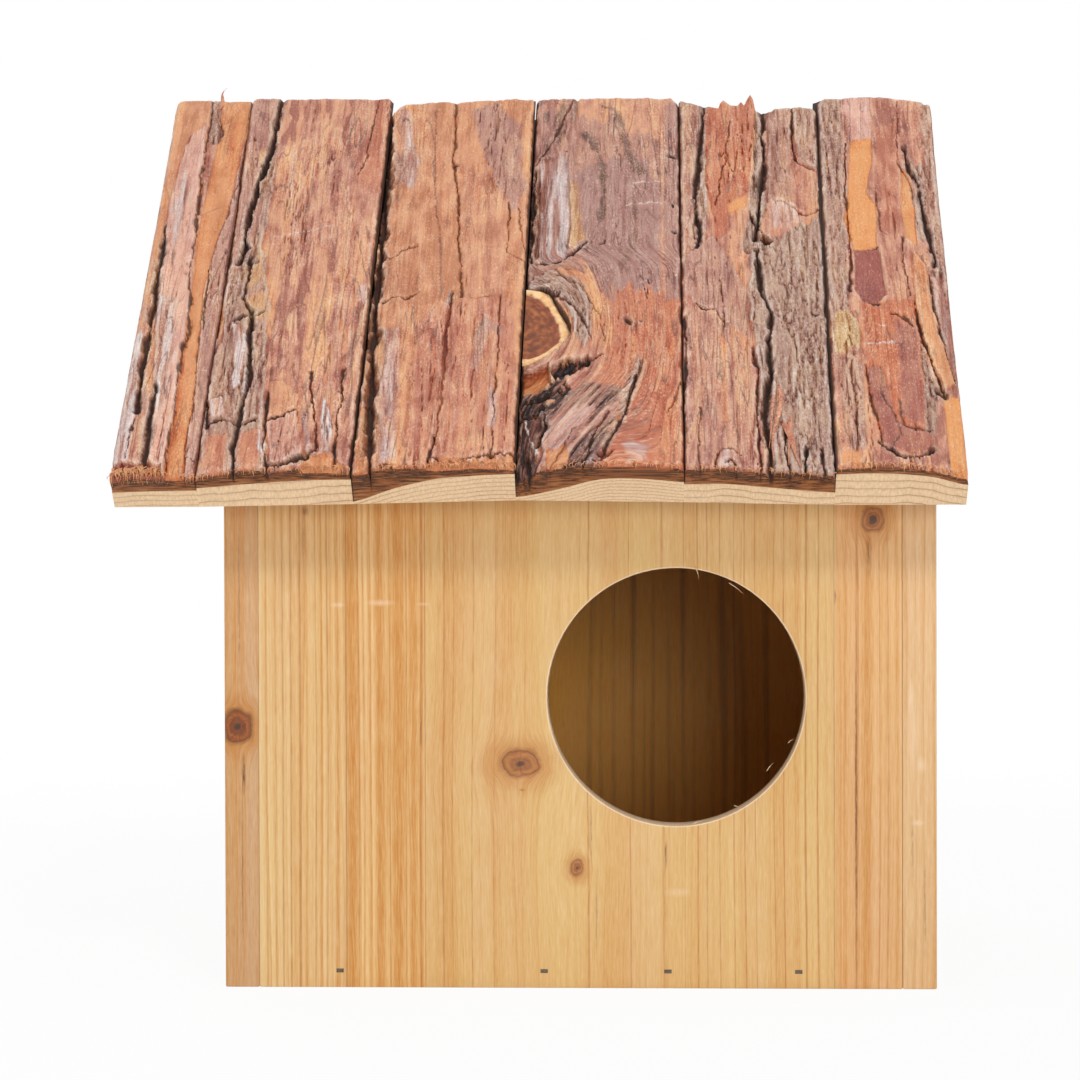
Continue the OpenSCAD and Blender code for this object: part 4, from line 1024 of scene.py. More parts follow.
def bark_material(bark):
    """Weathered pine bark: thin plates that scale off down to orange inner bark, and rough outer bark.

    Tints follow the masks on the mesh and the patterns run along its grain attribute. Crests get
    painted light and hollows painted shade, which brings out the layers. Smooth layers shine, outer bark is
    dull.
    """
    material, tree = new_material("weathered_pine_bark")
    grain = add(tree, "Attribute", attribute_name="grain", out="Vector")
    mask = {name: add(tree, "Attribute", attribute_name=name, out="Fac") for name in (*MASKS, "sawn")}
    streak = stretched_noise(tree, grain, 1.8, 34, 4)
    blotch = stretched_noise(tree, grain, 10, 30, 2)
    mottle = stretched_noise(tree, grain, 4, 9, 3, 0.3)
    fibre = stretched_noise(tree, grain, 0.7, 13, 3)
    fine = stretched_noise(tree, grain, 0.45, 0.9, 2)
    wave = stretched_noise(tree, grain, 7, 80, 2, 0.3)
    vein = stretched_noise(tree, grain, 3, 42, 2, 0.2)
    crumb = stretched_noise(tree, grain, 1.1, 2.2, 4)

    hue = total(tree, ((streak, 0.4), (mottle, 0.4), (blotch, 0.3), (mask["tone"], 0.2)), -0.19)
    hue = add(tree, "MapRange", {0: hue, 1: 0.34, 2: 0.66, 3: 0, 4: 1})
    shade = add(tree, "ValToRGB", {0: hue}, stops=[
        (0.05, tuple(bark.red_brown)), (0.3, tuple(bark.rose)), (0.5, tuple(bark.plate)),
        (0.72, tuple(bark.orange_tan)), (0.95, tuple(bark.gold))])
    for tint in TINTS:
        paint = (*getattr(bark, tint), 1)
        shade = add(tree, "Mix", {0: mask[tint], 6: shade, 7: paint}, **COLOUR_MIX)

    # Thin wavy lines where one layer ends, at every whole step of a slow noise
    for source, steps, width, low, high in ((wave, 18, 0.2, 0.25, 0.75), (vein, 13, 0.2, 0.05, 0.55)):
        line = add(tree, "Math", {0: source, 1: steps}, operation="MULTIPLY")
        line = add(tree, "Math", {0: line, 1: 1}, operation="PINGPONG")
        line = add(tree, "MapRange", {0: line, 1: 0, 2: width, 3: 1, 4: 0})
        gate = add(tree, "MapRange", {0: blotch, 1: 0.4, 2: 0.6, 3: low, 4: high})
        gate = total(tree, ((mask["mauve"], 0.3), (mask["fresh"], -0.5), (mask["plum"], -0.4),
                            (mask["lichen"], -0.6)), gate)
        line = add(tree, "Math", {0: line, 1: gate}, operation="MULTIPLY", use_clamp=True)
        shade = add(tree, "Mix", {0: line, 6: shade, 7: (*bark.violet, 1)}, **COLOUR_MIX)

    # A power of the colour darkens and enriches the hollows with painted shade and pales the
    # crests with painted light
    shares = ((mask["wear"], 1.9), (fibre, 1.8), (fine, 2.3), (streak, 0.8), (mottle, 1.6))
    detail = total(tree, shares, -sum(weight for _, weight in shares) / 2)
    contrast = total(tree, ((mask["cork"], 0.4), (mask["dark"], 0.6), (mask["silver"], 0.5),
                            (mask["lichen"], 0.6), (mask["fresh"], -0.1), (blotch, 1.6)), -0.25)
    power = add(tree, "Math", {0: detail, 1: contrast}, operation="MULTIPLY")
    power = add(tree, "Math", {0: power, 1: -1}, operation="MULTIPLY")
    power = add(tree, "Math", {0: 2, 1: power}, operation="POWER")
    shade = add(tree, "Gamma", {"Color": shade, "Gamma": power})
    # Olive and golden growth in patches of the rough bark, and small painted glints, most on crests
    golden = total(tree, ((crumb, 0.5), (mottle, 0.5)))
    golden = add(tree, "MapRange", {0: golden, 1: 0.5, 2: 0.62, 3: 0, 4: 0.35})
    rough_share = total(tree, ((mask["cork"], 0.8), (mask["lichen"], 1)))
    golden = add(tree, "Math", {0: golden, 1: rough_share}, operation="MULTIPLY", use_clamp=True)
    shade = add(tree, "Mix", {0: golden, 6: shade, 7: (*bark.lichen, 1)}, **COLOUR_MIX)
    glint = add(tree, "MapRange", {0: fine, 1: 0.62, 2: 0.72, 3: 0, 4: 0.6})
    glint = add(tree, "Math", {0: glint, 1: mask["wear"]}, operation="MULTIPLY")
    shade = add(tree, "Mix", {0: glint, 6: shade, 7: (*bark.glint, 1)}, **COLOUR_MIX)

    # The cut ends show thin layers, pale next to the wood and dark outside
    layered = add(tree, "VectorMath", {0: grain, 1: (0.12, 0.05, 1)}, operation="MULTIPLY")
    layers = stretched_noise(tree, layered, 0.7, 1, 4)
    layers = total(tree, ((layers, 1.6), (mask["outer"], 0.4)), -0.5)
    layers = add(tree, "ValToRGB", {0: layers}, stops=[
        (0.1, tuple(bark.wood_ring)), (0.35, tuple(bark.sawn)), (0.62, tuple(bark.crack)),
        (0.8, tuple(bark.sawn))])
    shade = add(tree, "Mix", {0: mask["sawn"], 6: shade, 7: layers}, **COLOUR_MIX)
    # Cracks, seams and furrows are painted nearly black: painted shade over the dark bark in them
    deep = add(tree, "MapRange", {0: mask["crack"], 1: 0.15, 2: 0.95, 3: 0, 4: 0.93},
               interpolation_type="SMOOTHSTEP")
    shade = add(tree, "Mix", {0: deep, 6: shade, 7: (*bark.crack, 1)}, **COLOUR_MIX)

    rough = add(tree, "MapRange", {0: fibre, 1: 0.3, 2: 0.7, 3: 0.4, 4: 0.62})
    rough = total(tree, ((mask["cork"], 0.25), (mask["dark"], 0.1), (mask["crack"], 0.3),
                         (mask["silver"], -0.15), (mask["plum"], -0.2), (mask["pale"], -0.08),
                         (mask["sawn"], 0.2)), rough)
    rugged = total(tree, ((mask["cork"], 1), (mask["dark"], 1)), 0.15)
    height = add(tree, "Math", {0: crumb, 1: rugged, 2: fibre}, operation="MULTIPLY_ADD")
    height = total(tree, ((fine, 0.5),), height)
    finish_surface(tree, {"Base Color": shade, "Roughness": rough}, height, 0.4)
    return material


def slab_wood_material(bark):
    """Sawn slab wood: rings that follow the bark, from cutting the log lengthways, and saw fuzz."""
    material, tree = new_material("sawn_slab_pine")
    grain = add(tree, "Attribute", attribute_name="grain", out="Vector")
    stain = add(tree, "Attribute", attribute_name="stain", out="Fac")
    apart = add(tree, "SeparateXYZ", {0: grain}).node
    waver = stretched_noise(tree, grain, 16, 90, 3)
    # Each ring ends in a dark and narrow line of late wood
    at = total(tree, ((apart.outputs["Z"], 1 / MM), (waver, 1.8)))
    at = add(tree, "Math", {0: at}, operation="FRACT")
    rings = add(tree, "ValToRGB", {0: at}, stops=[
        (0, grey(0.85)), (0.05, grey(0.6)), (0.12, grey(0.1)), (0.6, grey(0.03)), (0.9, grey(0.2)),
        (1, grey(0.85))])
    fade = add(tree, "MapRange", {0: waver, 1: 0.35, 2: 0.6, 3: 1, 4: 0.6})
    strength = add(tree, "Math", {0: rings, 1: fade}, operation="MULTIPLY")
    fibre = stretched_noise(tree, grain, 0.5, 9, 4)
    fuzz = add(tree, "MapRange", {0: fibre, 1: 0.35, 2: 0.7, 3: 0, 4: 0.3})
    ring_paint = (*bark.wood_ring, 1)
    shade = add(tree, "Mix", {0: strength, 6: (*bark.wood, 1), 7: ring_paint}, **COLOUR_MIX)
    shade = add(tree, "Mix", {0: fuzz, 6: shade, 7: ring_paint}, **COLOUR_MIX)
    # Painted shade and some dirt darken the sides that face another slab and the top under the bark
    shade = add(tree, "Mix", {0: stain, 6: shade, 7: (*bark.crack, 1)}, **COLOUR_MIX)
    finish_surface(tree, {"Base Color": shade, "Roughness": 0.72}, fibre, 0.12)
    return material


def knot_material(bark):
    """Sawn branch wood: red-brown heart with fine rings inside a pale ring of inner bark."""
    material, tree = new_material("sawn_branch_knot")
    ring = add(tree, "Attribute", attribute_name="ring", out="Fac")
    grain = add(tree, "Attribute", attribute_name="grain", out="Vector")
    mottle = add(tree, "TexNoise", {"Vector": grain, "Scale": 1 / (2.5 * MM), "Detail": 5}, out="Fac")
    turns = total(tree, ((ring, 15), (mottle, 2.2)))
    turns = add(tree, "Math", {0: turns, 1: 1}, operation="PINGPONG")
    fine = total(tree, ((turns, 0.14), (mottle, 1.3)), -0.11)
    heart = add(tree, "ValToRGB", {0: fine}, stops=[
        (0.3, linear("#562B18")), (0.6, linear("#834321")), (0.9, linear("#B46B3A"))])
    border = add(tree, "Math", {0: mottle, 1: 0.08, 2: ring}, operation="MULTIPLY_ADD")
    rim = add(tree, "MapRange", {0: border, 1: 0.83, 2: 0.86, 3: 0, 4: 1})
    inner = add(tree, "MapRange", {0: border, 1: 0.77, 2: 0.84, 3: 0, 4: 0.75})
    shade = add(tree, "Mix", {0: inner, 6: heart, 7: (*bark.plum, 1)}, **COLOUR_MIX)
    pale = add(tree, "ValToRGB", {0: mottle}, stops=[
        (0.35, linear("#EDB276")), (0.6, linear("#FFDAA6"))])
    shade = add(tree, "Mix", {0: rim, 6: shade, 7: pale}, **COLOUR_MIX)
    finish_surface(tree, {"Base Color": shade, "Roughness": 0.6}, mottle, 0.25)
    return material


def brad_material(boards):
    """Plain steel brads, rolled and stamped, gone dull: grey with brown patches of oxide."""
    material, tree = new_material("dull_stamped_steel")
    place = add(tree, "TexCoord", out="Object")
    patches = add(tree, "TexNoise", {"Vector": place, "Scale": 1 / (0.8 * MM), "Detail": 4}, out="Fac")
    shade = add(tree, "ValToRGB", {0: patches}, stops=[
        (0.4, tuple(boards.steel)), (0.7, linear("#54463A"))])
    rough = add(tree, "MapRange", {0: patches, 1: 0.3, 2: 0.7, 3: 0.42, 4: 0.68})
    finish_surface(tree, {"Base Color": shade, "Metallic": 0.85, "Roughness": rough}, patches, 0.05)
    return material


def seen_directly(tree):
    """1 for what the camera sees, also in a mirror or through glass, and 0 for light on other ways."""
    path = add(tree, "LightPath").node
    seen = path.outputs["Is Camera Ray"]
    for ray in ("Is Glossy Ray", "Is Transmission Ray"):
        seen = add(tree, "Math", {0: seen, 1: path.outputs[ray]}, operation="MAXIMUM")
    return seen


def floor_material(stage):
    """Matt white studio paper that keeps the house's shadow and is lost in the white background."""
    material, tree = new_material("white_studio_paper")
    place = add(tree, "TexCoord", out="Object")
    away = add(tree, "VectorMath", {0: place}, out="Value", operation="LENGTH")
    far = add(tree, "MapRange", {0: away, 1: 0.25, 2: 0.75, 3: 0, 4: 1}, interpolation_type="SMOOTHSTEP")
    seen = seen_directly(tree)
    # Near the house the floor glows a little less than the background, so that its shadow shows
    near_share = 0.93
    white = add(tree, "MapRange", {0: far, 1: 0, 2: 1, 3: near_share, 4: 1})
    white = add(tree, "Math", {0: white, 1: seen}, operation="MULTIPLY")
    grain = add(tree, "TexNoise", {"Vector": place, "Scale": 0.9 / MM, "Detail": 2}, out="Fac")
    bump = add(tree, "Bump", {"Height": grain, "Distance": 0.02 * MM})
    paper = add(tree, "BsdfPrincipled", {"Base Color": (*stage.floor, 1), "Roughness": 0.9, "Normal": bump})
    glow = add(tree, "Emission", {"Color": (1, 1, 1, 1), "Strength": 1})
    surface = add(tree, "MixShader", {0: white, 1: paper, 2: glow})
    add(tree, "OutputMaterial", {"Surface": surface})
    return material


def shared_material(name, make, *values):
    """A material of that name, made the first time that a piece asks for it."""
    return bpy.data.materials.get(name) or make(*values)


def start_mesh(kind, name, **settings):
    """Adds a primitive as the only selected object, under a new name."""
    bpy.ops.object.select_all(action="DESELECT")
    getattr(bpy.ops.mesh, f"primitive_{kind}_add")(**settings)
    piece = bpy.context.object
    piece.name = name
    piece.data.name = name
    return piece


def dress(piece, material, body, slot, *nodes):
    """Gives a finished piece its material and its body, and hides the nodes that it stands for; slot is not
    used.
    """
    piece.data.materials.clear()
    piece.data.materials.append(material)
    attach(piece, body)
    if nodes:
        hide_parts(*nodes)
    return piece


def edit_all(piece):
    """Opens a piece for editing, as the only selected object, with all of its mesh selected."""
    bpy.ops.object.select_all(action="DESELECT")
    piece.select_set(True)
    bpy.context.view_layer.objects.active = piece
    bpy.ops.object.mode_set(mode="EDIT")
    bpy.ops.mesh.select_all(action="SELECT")


def edit_edges(piece, wanted):
    """Opens the active piece for editing, with only those edges selected that pass a test."""
    bpy.ops.object.mode_set(mode="EDIT")
    bpy.ops.mesh.select_mode(type="EDGE")
    bpy.ops.mesh.select_all(action="DESELECT")
    shape = bmesh.from_edit_mesh(piece.data)
    for line in shape.edges:
        line.select_set(wanted(line))
    bmesh.update_edit_mesh(piece.data)


def rounded_board(node, edge, rim=0.0):
    """A board copied from its node, with its long edges and the rim of its entrance rounded."""
    source = frame["nodes"][node]
    piece = source.copy()
    piece.data = source.data.copy()
    for key in list(piece.keys()):
        del piece[key]
    piece.parent = None
    piece.name = node + "_planed"
    piece.data.name = piece.name
    bpy.context.scene.collection.objects.link(piece)
    edit_all(piece)
    bpy.ops.mesh.remove_doubles(threshold=0.01 * MM)
    bpy.ops.mesh.dissolve_limited(angle_limit=math.radians(0.5))
    bpy.ops.object.mode_set(mode="OBJECT")
    shape = bmesh.new()
    shape.from_mesh(piece.data)
    weights = shape.edges.layers.float.new("bevel_weight_edge")
    longest_brad_edge = 2.4 * MM
    for line in shape.edges:
        if len(line.link_faces) != 2 or line.calc_face_angle(0) < math.radians(20):
            continue
        ends = [math.hypot(v.co.x / MM - ENTRANCE_X, v.co.z / MM - ENTRANCE_Z) for v in line.verts]
        if rim and all(abs(r - ENTRANCE_R) < 0.2 for r in ends):
            line[weights] = rim / edge if rim < edge else 1
        elif line.calc_length() > longest_brad_edge:
            line[weights] = 1
    shape.to_mesh(piece.data)
    shape.free()
    bevel = piece.modifiers.new("Rounding", "BEVEL")
    bevel.width = edge
    bevel.segments = 2
    bevel.limit_method = "WEIGHT"
    bevel.use_clamp_overlap = False
    bpy.ops.object.modifier_apply(modifier=bevel.name)
    bpy.ops.object.shade_smooth_by_angle(angle=math.radians(30))
    return piece


def sheet_blank(name, columns, rows):
    """A closed block whose top is a fine grid and whose underside is one strip for each column."""
    piece = start_mesh("grid", name, x_subdivisions=columns, y_subdivisions=rows, size=1)
    edit_edges(piece, lambda line: line.is_boundary and abs(sum(v.co.y for v in line.verts)) > 0.999)
    bpy.ops.mesh.extrude_edges_move(TRANSFORM_OT_translate={"value": (0, 0, -1)})
    bpy.ops.mesh.bridge_edge_loops()
    bpy.ops.mesh.select_all(action="SELECT")
    bpy.ops.mesh.fill_holes(sides=0)
    bpy.ops.mesh.select_all(action="SELECT")
    bpy.ops.mesh.normals_make_consistent(inside=False)
    bpy.ops.object.mode_set(mode="OBJECT")
    return piece


def face_outwards(piece):
    """Turns a closed piece's faces outwards."""
    edit_all(piece)
    bpy.ops.mesh.normals_make_consistent(inside=False)
    bpy.ops.object.mode_set(mode="OBJECT")


def unit_grid(columns, rows):
    """Shares from 0 to 1 across and down, for the corners of that many cells."""
    return np.meshgrid(np.linspace(0, 1, columns + 1), np.linspace(0, 1, rows + 1))


def sheet_piece(name, side, top, low, values, grain, smooth_degrees):
    """A closed sheet on a slope that carries its masks and its grain.

    top holds across, out and down for the grid, low holds them for the two lower end lines.
    """
    rows, columns = (count - 1 for count in top[0].shape)
    piece = sheet_blank(name, columns, rows)
    count = len(piece.data.vertices)
    start = np.zeros(count * 3)
    piece.data.vertices.foreach_get("co", start)
    start = start.reshape(-1, 3)
    column = np.rint((start[:, 0] + 0.5) * columns).astype(int)
    row = np.rint((start[:, 1] + 0.5) * rows).astype(int)
    on_top = start[:, 2] > -0.5
    end = (row > 0).astype(int)
    places = [np.where(on_top, grid[row, column], line[end, column]) for grid, line in zip(top, low)]
    corners = np.stack(to_world(side, *places), axis=1) * MM
    piece.data.vertices.foreach_set("co", corners.ravel())
    for name, value in values.items():
        held = np.where(on_top, value[row, column], 0.0)
        piece.data.attributes.new(name, "FLOAT", "POINT").data.foreach_set("value", held)
    flow = [np.where(on_top, grid[row, column], line[end, column]) for grid, line in zip(*grain)]
    flow = np.stack(flow, axis=1) * MM
    piece.data.attributes.new("grain", "FLOAT_VECTOR", "POINT").data.foreach_set("vector", flow.ravel())
    sawn = np.zeros(len(piece.data.polygons))
    sawn[columns * rows:] = 1
    piece.data.attributes.new("sawn", "FLOAT", "FACE").data.foreach_set("value", sawn)
    piece.data.update()
    face_outwards(piece)
    bpy.ops.object.shade_smooth_by_angle(angle=math.radians(smooth_degrees))
    return piece


def grain_round_knot(across, down, centre):
    """Places across the grain where it flows round a knot, like water round a post."""
    away_x, away_d = across - centre, (down - KNOT_DOWN) * 0.85
    squared = away_x ** 2 + away_d ** 2
    post = (KNOT_R + 4) ** 2
    flow = away_x * (1 - post / np.maximum(squared, post * 0.8))
    flow = across - centre + (flow - across + centre) * smooth(down - KNOT_DOWN, -38, -26)
    # Below the knot the grain fans back to the left
    below = np.maximum(down - KNOT_DOWN - 20, 0)
    return flow + 0.42 * below * smooth(away_x, 3, 12) * smooth(away_x, 50, 30)


def at_least(skin, mask, value):
    """Raises a mask to a value wherever it is lower."""
    skin[mask] = np.maximum(skin[mask], value)


def paint_patch(skin, tint, strength, rise, ragged, outline, seed):
    """Lays a patch of one tint over the bark, frayed along the grain, and raises or sinks it."""
    across, down, grain = skin["across"], skin["down"], skin["grain"]
    fray = 0.3 * ragged if tint == "dark" else ragged
    fringe = 2 * noise(grain / 1.5, down / 40, seed + 3) + noise(grain / 0.7, down / 9, seed + 4)
    frayed = down + fray * fringe
    wavy = across + 1.1 * ragged * fractal(across / 3, down / 5, seed, 4)
    inside = distance_inside(wavy, frayed, outline)
    # A layer that stands out has a sharp border, a mere stain fades away
    border = 0.3 if abs(rise) >= 0.3 else 1.2
    share = smooth(inside, -border, border)
    for other in TINTS:
        skin[other] *= 1 - share
    # Growth and sheen cover their patch only in streaks
    cover = smooth(fractal(grain / 1.3, down / 17, seed + 5, 3), -0.45, 0.2) if tint in STREAKY else 1
    at_least(skin, tint, strength * share * cover)
    at_least(skin, "mauve", 0.8 * strength * share * (1 - cover))
    skin["rise"] += rise * share


def stroke_core(skin, reach, line, seed):
    """How near each place is to a wandering, jagged line and to the wider strip beside it, 1 on it."""
    across, down = skin["across"], skin["down"]
    across_off = across + 0.5 * fractal(across / 3, down / 6, seed, 3)
    across_off += 0.3 * fractal(across, down / 1.3, seed + 7, 3)
    down_off = down + 0.7 * fractal(across / 1.2, down / 2.5, seed + 5, 4)
    away = distance_to_path(across_off, down_off, line)
    width = reach * (0.7 + 0.95 * fractal(across / 5, down / 6, seed + 9, 4))
    core = np.clip(1 - away / np.maximum(width, 0.25), 0, 1)
    halo = np.clip(1 - away / np.maximum(1.9 * width + 0.6, 0.5), 0, 1)
    return core, halo


def weathering(skin, seed):
    """Relief of the bark's own texture: long ridges, scaling plates, fissures, cork and fibres."""
    grain, down = skin["grain"], skin["down"]
    grain = grain + 1.1 * fractal(grain / 14, down / 60, seed, 3)
    frayed = down + 5 * noise(grain / 1.5, down / 50, seed + 1)
    frayed += 2.5 * noise(grain / 0.7, down / 12, seed + 2)
    long_ridges = fractal(grain / 7, down / 110, seed + 3, 3)
    layers = fractal(grain / 8, frayed / 48, seed + 11, 4) * 2.6
    plate = np.floor(layers)
    lip = layers - plate
    plates = plate + smooth(lip, 0, 0.1)
    skin["tone"] = np.clip(0.5 + 0.8 * noise(plate * 3.7 + grain / 30, down / 90 + plate, seed + 21), 0, 1)
    gate = smooth(fractal(grain / 9, down / 50, seed + 31, 3), -0.05, 0.3)
    fissure = smooth(np.abs(fractal(grain / 3.6, frayed / 55, seed + 37, 4)), 0.05, 0.0) * gate
    block = np.abs(fractal(grain / 2.7, frayed / 15, seed + 41, 4))
    cork_gap = smooth(block, 0.09, 0.0)
    cork = smooth(block, 0, 0.35) + 0.7 * fractal(grain / 1.2, down / 3.2, seed + 47, 3)
    ribs = fractal(grain / 1.7, down / 40, seed + 53, 3)
    fibres = fractal(grain / 0.8, down / 14, seed + 57, 2)
    cork_share = np.clip(skin["cork"] + skin["dark"] + 0.6 * skin["lichen"], 0, 1)
    smooth_share = np.clip(skin["fresh"] + skin["plum"], 0, 1)
    plate_share = np.clip(1 - cork_share - smooth_share, 0, 1)
    lip_line = smooth(lip, 0.08, 0.0) * plate_share
    # Painted shade on the lips of the plates, in the fissures and in the gaps of the cork
    at_least(skin, "crack", 0.3 * lip_line)
    at_least(skin, "crack", 0.6 * fissure * (plate_share + cork_share))
    at_least(skin, "crack", 0.6 * cork_gap * cork_share)
    skin["rise"] += 0.3 * long_ridges + 0.07 * fibres
    skin["rise"] += plate_share * (0.28 * plates - 0.5 * fissure + 0.16 * ribs)
    skin["rise"] += cork_share * (0.5 * cork - 0.4 * cork_gap - 0.4 * fissure + 0.2 * ribs)
    skin["rise"] += smooth_share * 0.1 * ribs


def scattered_features(furrows, reach, left, width, seed):
    """Patches and strokes, in mm, of a slab that the photo doesn't show."""
    draw = np.random.default_rng(seed)
    start, end = reach
    patches, strokes = [], []
    for tint, strength, rise in BACK_PATCHES:
        middle = left + width * draw.uniform(0.1, 0.9)
        half = width * draw.uniform(0.07, 0.2)
        top = draw.uniform(start - 20, end - 50)
        bottom = top + draw.uniform(40, 120)
        slant = draw.uniform(-4, 4)
        outline = [(middle - half, top), (middle + half, top + 6), (middle + 0.7 * half + slant, bottom),
                   (middle - half + slant, bottom + 5)]
        patches.append((tint, strength, rise, 1.0, outline))
    for at, depth in furrows:
        line = [(at + draw.uniform(-1.2, 1.2), d) for d in np.linspace(start, end, 9)]
        strokes.append(("crack", 1, 1.3, -depth, line))
    for _ in range(4):
        across = left + width * draw.uniform(0.1, 0.9)
        down = draw.uniform(start + 10, end - 20)
        line = [(across, down), (across + draw.uniform(3, 8), down + draw.uniform(-2, 2))]
        strokes.append(("crack", 0.9, 0.6, -1.0, line))
    return patches, strokes


def blurred(values, down_reach, across_reach):
    """Mean of each place's neighbours, that many cells each way."""
    for axis, reach in ((0, down_reach), (1, across_reach)):
        margin = [(0, 0), (0, 0)]
        margin[axis] = (reach + 1, reach)
        running = np.cumsum(np.pad(values, margin, mode="edge"), axis=axis)
        count = values.shape[axis]
        ahead = np.take(running, np.arange(count) + 2 * reach + 1, axis=axis)
        behind = np.take(running, np.arange(count), axis=axis)
        values = (ahead - behind) / (2 * reach + 1)
    return values


def bark_piece(side, number, bark, material):
    """The bark of one slab as a relief of plates, cracks and furrows over its wood."""
    wood, crown, _, furrows = bark_section(side, number)
    start, end = slope_reach(side)
    left, right = wood[0][0], wood[0][-1]
    width = right - left
    scale = 1 if side == FRONT else bark.back_scale
    columns = round(width * MM / (bark.across * scale))
    rows = round((end - start) * MM / (bark.along * scale))
    u, v = unit_grid(columns, rows)
    seed = 1000 * number + (500 if side == BACK else 0)

    if side == FRONT:
        lean_left, lean_right = SEAM_LEANS[number - 1], SEAM_LEANS[number]
        ridge_at = ridge_end(number, left + u[0] * width, crown, start)
        ridge_at = np.clip(ridge_at + 0.25 * noise(u[0] * width / 1.3, 0 * u[0], seed), start, 0)
    else:
        ridge_at = np.full(columns + 1, start)
        lean_left = lean_right = 0
    down = ridge_at[None, :] + (end - ridge_at[None, :]) * v
    climb = (end - down) / (end - start)
    wobble = 0.12 * (noise(0 * down, down / 4, seed + 71) + 1)
    wobble_right = 0.12 * (noise(0 * down, down / 4, seed + 72) + 1)
    across = left + 0.02 + wobble + u * (width - 0.04 - wobble - wobble_right)
    across = across + climb * (lean_left + (lean_right - lean_left) * u)

    skin = {name: np.zeros(down.shape) for name in (*MASKS, "rise")}
    skin.update({"across": across, "down": down, "grain": across})
    if side == FRONT and number == KNOT_SLAB:
        skin["grain"] = grain_round_knot(across, down, left - KNOT_OUT)
    if side == FRONT:
        level = crown[1].mean()
        patches, strokes = (
            [(*values, seen_on_slope(pixels, level)) for *values, pixels in table[number].values()]
            for table in (PATCHES, STROKES))
        seams = SEAM_DARKNESS[number - 1], SEAM_DARKNESS[number]
    else:
        patches, strokes = scattered_features(furrows, (start, end), left, width, seed)
        seams = (0.7 if number > 1 else 0.2), (0.7 if number < SLABS else 0.2)
    for order, (tint, strength, rise, ragged, outline) in enumerate(patches):
        paint_patch(skin, tint, strength, rise, ragged, outline, seed + 100 + order)
    drawn = []
    for order, (mask, strength, reach, rise, line) in enumerate(strokes):
        core, halo = stroke_core(skin, reach, line, seed + 200 + order)
        drawn.append((mask, strength, rise, core))
        if mask == "crack" and reach >= 1:
            # Wide furrows lie in a strip of rough bark, with painted shade beside the furrow
            at_least(skin, "cork", 0.3 * smooth(halo, 0.05, 0.5))
            at_least(skin, "crack", 0.5 * smooth(halo, 0.05, 0.8))
    weathering(skin, seed + 300)
    # Each stroke lays its tint, or painted shade where it is a crack, and sinks or raises the bark
    for mask, strength, rise, core in drawn:
        share = strength * smooth(core, 0.15, 0.75)
        for other in TINTS if mask in TINTS else ():
            skin[other] *= 1 - share
        at_least(skin, mask, share)
        skin["rise"] += rise * core ** 0.8

    base = np.interp(left + u * width, *crown)
    floor_at = np.interp(left + u * width, *wood)
    from_ridge = down - ridge_at[None, :]
    if side == FRONT:
        # The slabs are flatter across at the ridge than at the eave
        base += (crown[1].mean() - base) * smooth(climb, 0.65, 0.98)
        skin["rise"] *= 0.25 + 0.75 * smooth(from_ridge, 0, 9)
    # Each seam sinks the bark beside it and gets painted shade
    for edge, darkness in ((u * width, seams[0]), ((1 - u) * width, seams[1])):
        seam_reach = 0.9 + 0.5 * noise(0 * down, down / 5, seed + 81)
        seam_reach += 0.4 * noise(0 * down, down / 1.6, seed + 82)
        fall = np.clip(1 - edge / np.maximum(seam_reach, 0.3), 0, 1)
        skin["rise"] -= (0.5 + 1.3 * darkness) * fall ** 1.5
        at_least(skin, "crack", darkness * smooth(fall, 0.2, 0.9))
    from_end = end - down
    frayed_end = 1.3 + 0.9 * noise(across / 1.1, down / 8, seed + 91)
    frayed_end += 0.5 * noise(across / 0.4, down / 8, seed + 92)
    skin["rise"] -= 1.2 * np.clip(1 - from_end / np.maximum(frayed_end, 0.3), 0, 1) ** 1.5
    skin["rise"] -= 0.6 * np.clip(1 - from_ridge, 0, 1) ** 2
    thickness = base - floor_at
    out = np.maximum(base + skin["rise"], floor_at + np.minimum(0.6, thickness * 0.3))
    if side == FRONT and number == KNOT_SLAB:
        gap = knot_reach(across, down, left) + 0.35
        socket = smooth(gap, 0.5, -0.1)
        out = out * (1 - socket) + (KNOT_TOP - 4.5) * socket
        # Painted shade in the gap round the knot
        at_least(skin, "crack", smooth(gap, 0.9, 0.2))
    # Crests get painted light and hollows painted shade, told by the height against the neighbours'.
    # A crack's lips are no crests, so the depth of cracks doesn't count.
    cell_down, cell_across = (end - start) / rows, width / columns
    level_out = np.maximum(out, base + 0.3 * skin["rise"] - 0.5)
    hollow = out - blurred(level_out, round(SHADING_REACH / cell_down), round(SHADING_REACH / cell_across))
    even = 1 - 0.75 * np.clip(skin["fresh"] + skin["plum"] + skin["pale"], 0, 1)
    skin["wear"] = np.clip(0.5 + even * hollow / SHADING_HEIGHT, 0, 1)

    low_start = hidden_end(ridge_at, base[0], floor_at[0], start)
    low_down = np.stack([low_start, np.full(columns + 1, end)])
    low_out = floor_at[[0, -1]]
    top = (across, out, down)
    low = (across[[0, -1]], low_out, low_down)
    grain = ((skin["grain"], down, out), (skin["grain"][[0, -1]], low_down, low_out))
    skin["outer"] = np.ones(down.shape)
    masks = {name: skin[name] for name in MASKS}
    piece = sheet_piece(f"{SIDES[side]}_bark_{number}", side, top, low, masks, grain, 50)
    return dress(piece, material, "roof", "bark", f"roof_{SIDES[side]}_bark_{number}")


def knot_outline(left):
    """Places down the slope and across it of the knot's right side."""
    seen = seen_on_slope(KNOT_RIGHT, KNOT_TOP)
    return seen[:, 1], np.maximum(seen[:, 0], left + 0.5)


def knot_reach(across, down, left):
    """Distance of each place outside the knot's right side, negative inside it."""
    steps, edge = knot_outline(left)
    outline = [(left - 5, steps[0]), *zip(edge, steps), (left - 5, steps[-1])]
    return -distance_inside(across, down, outline)


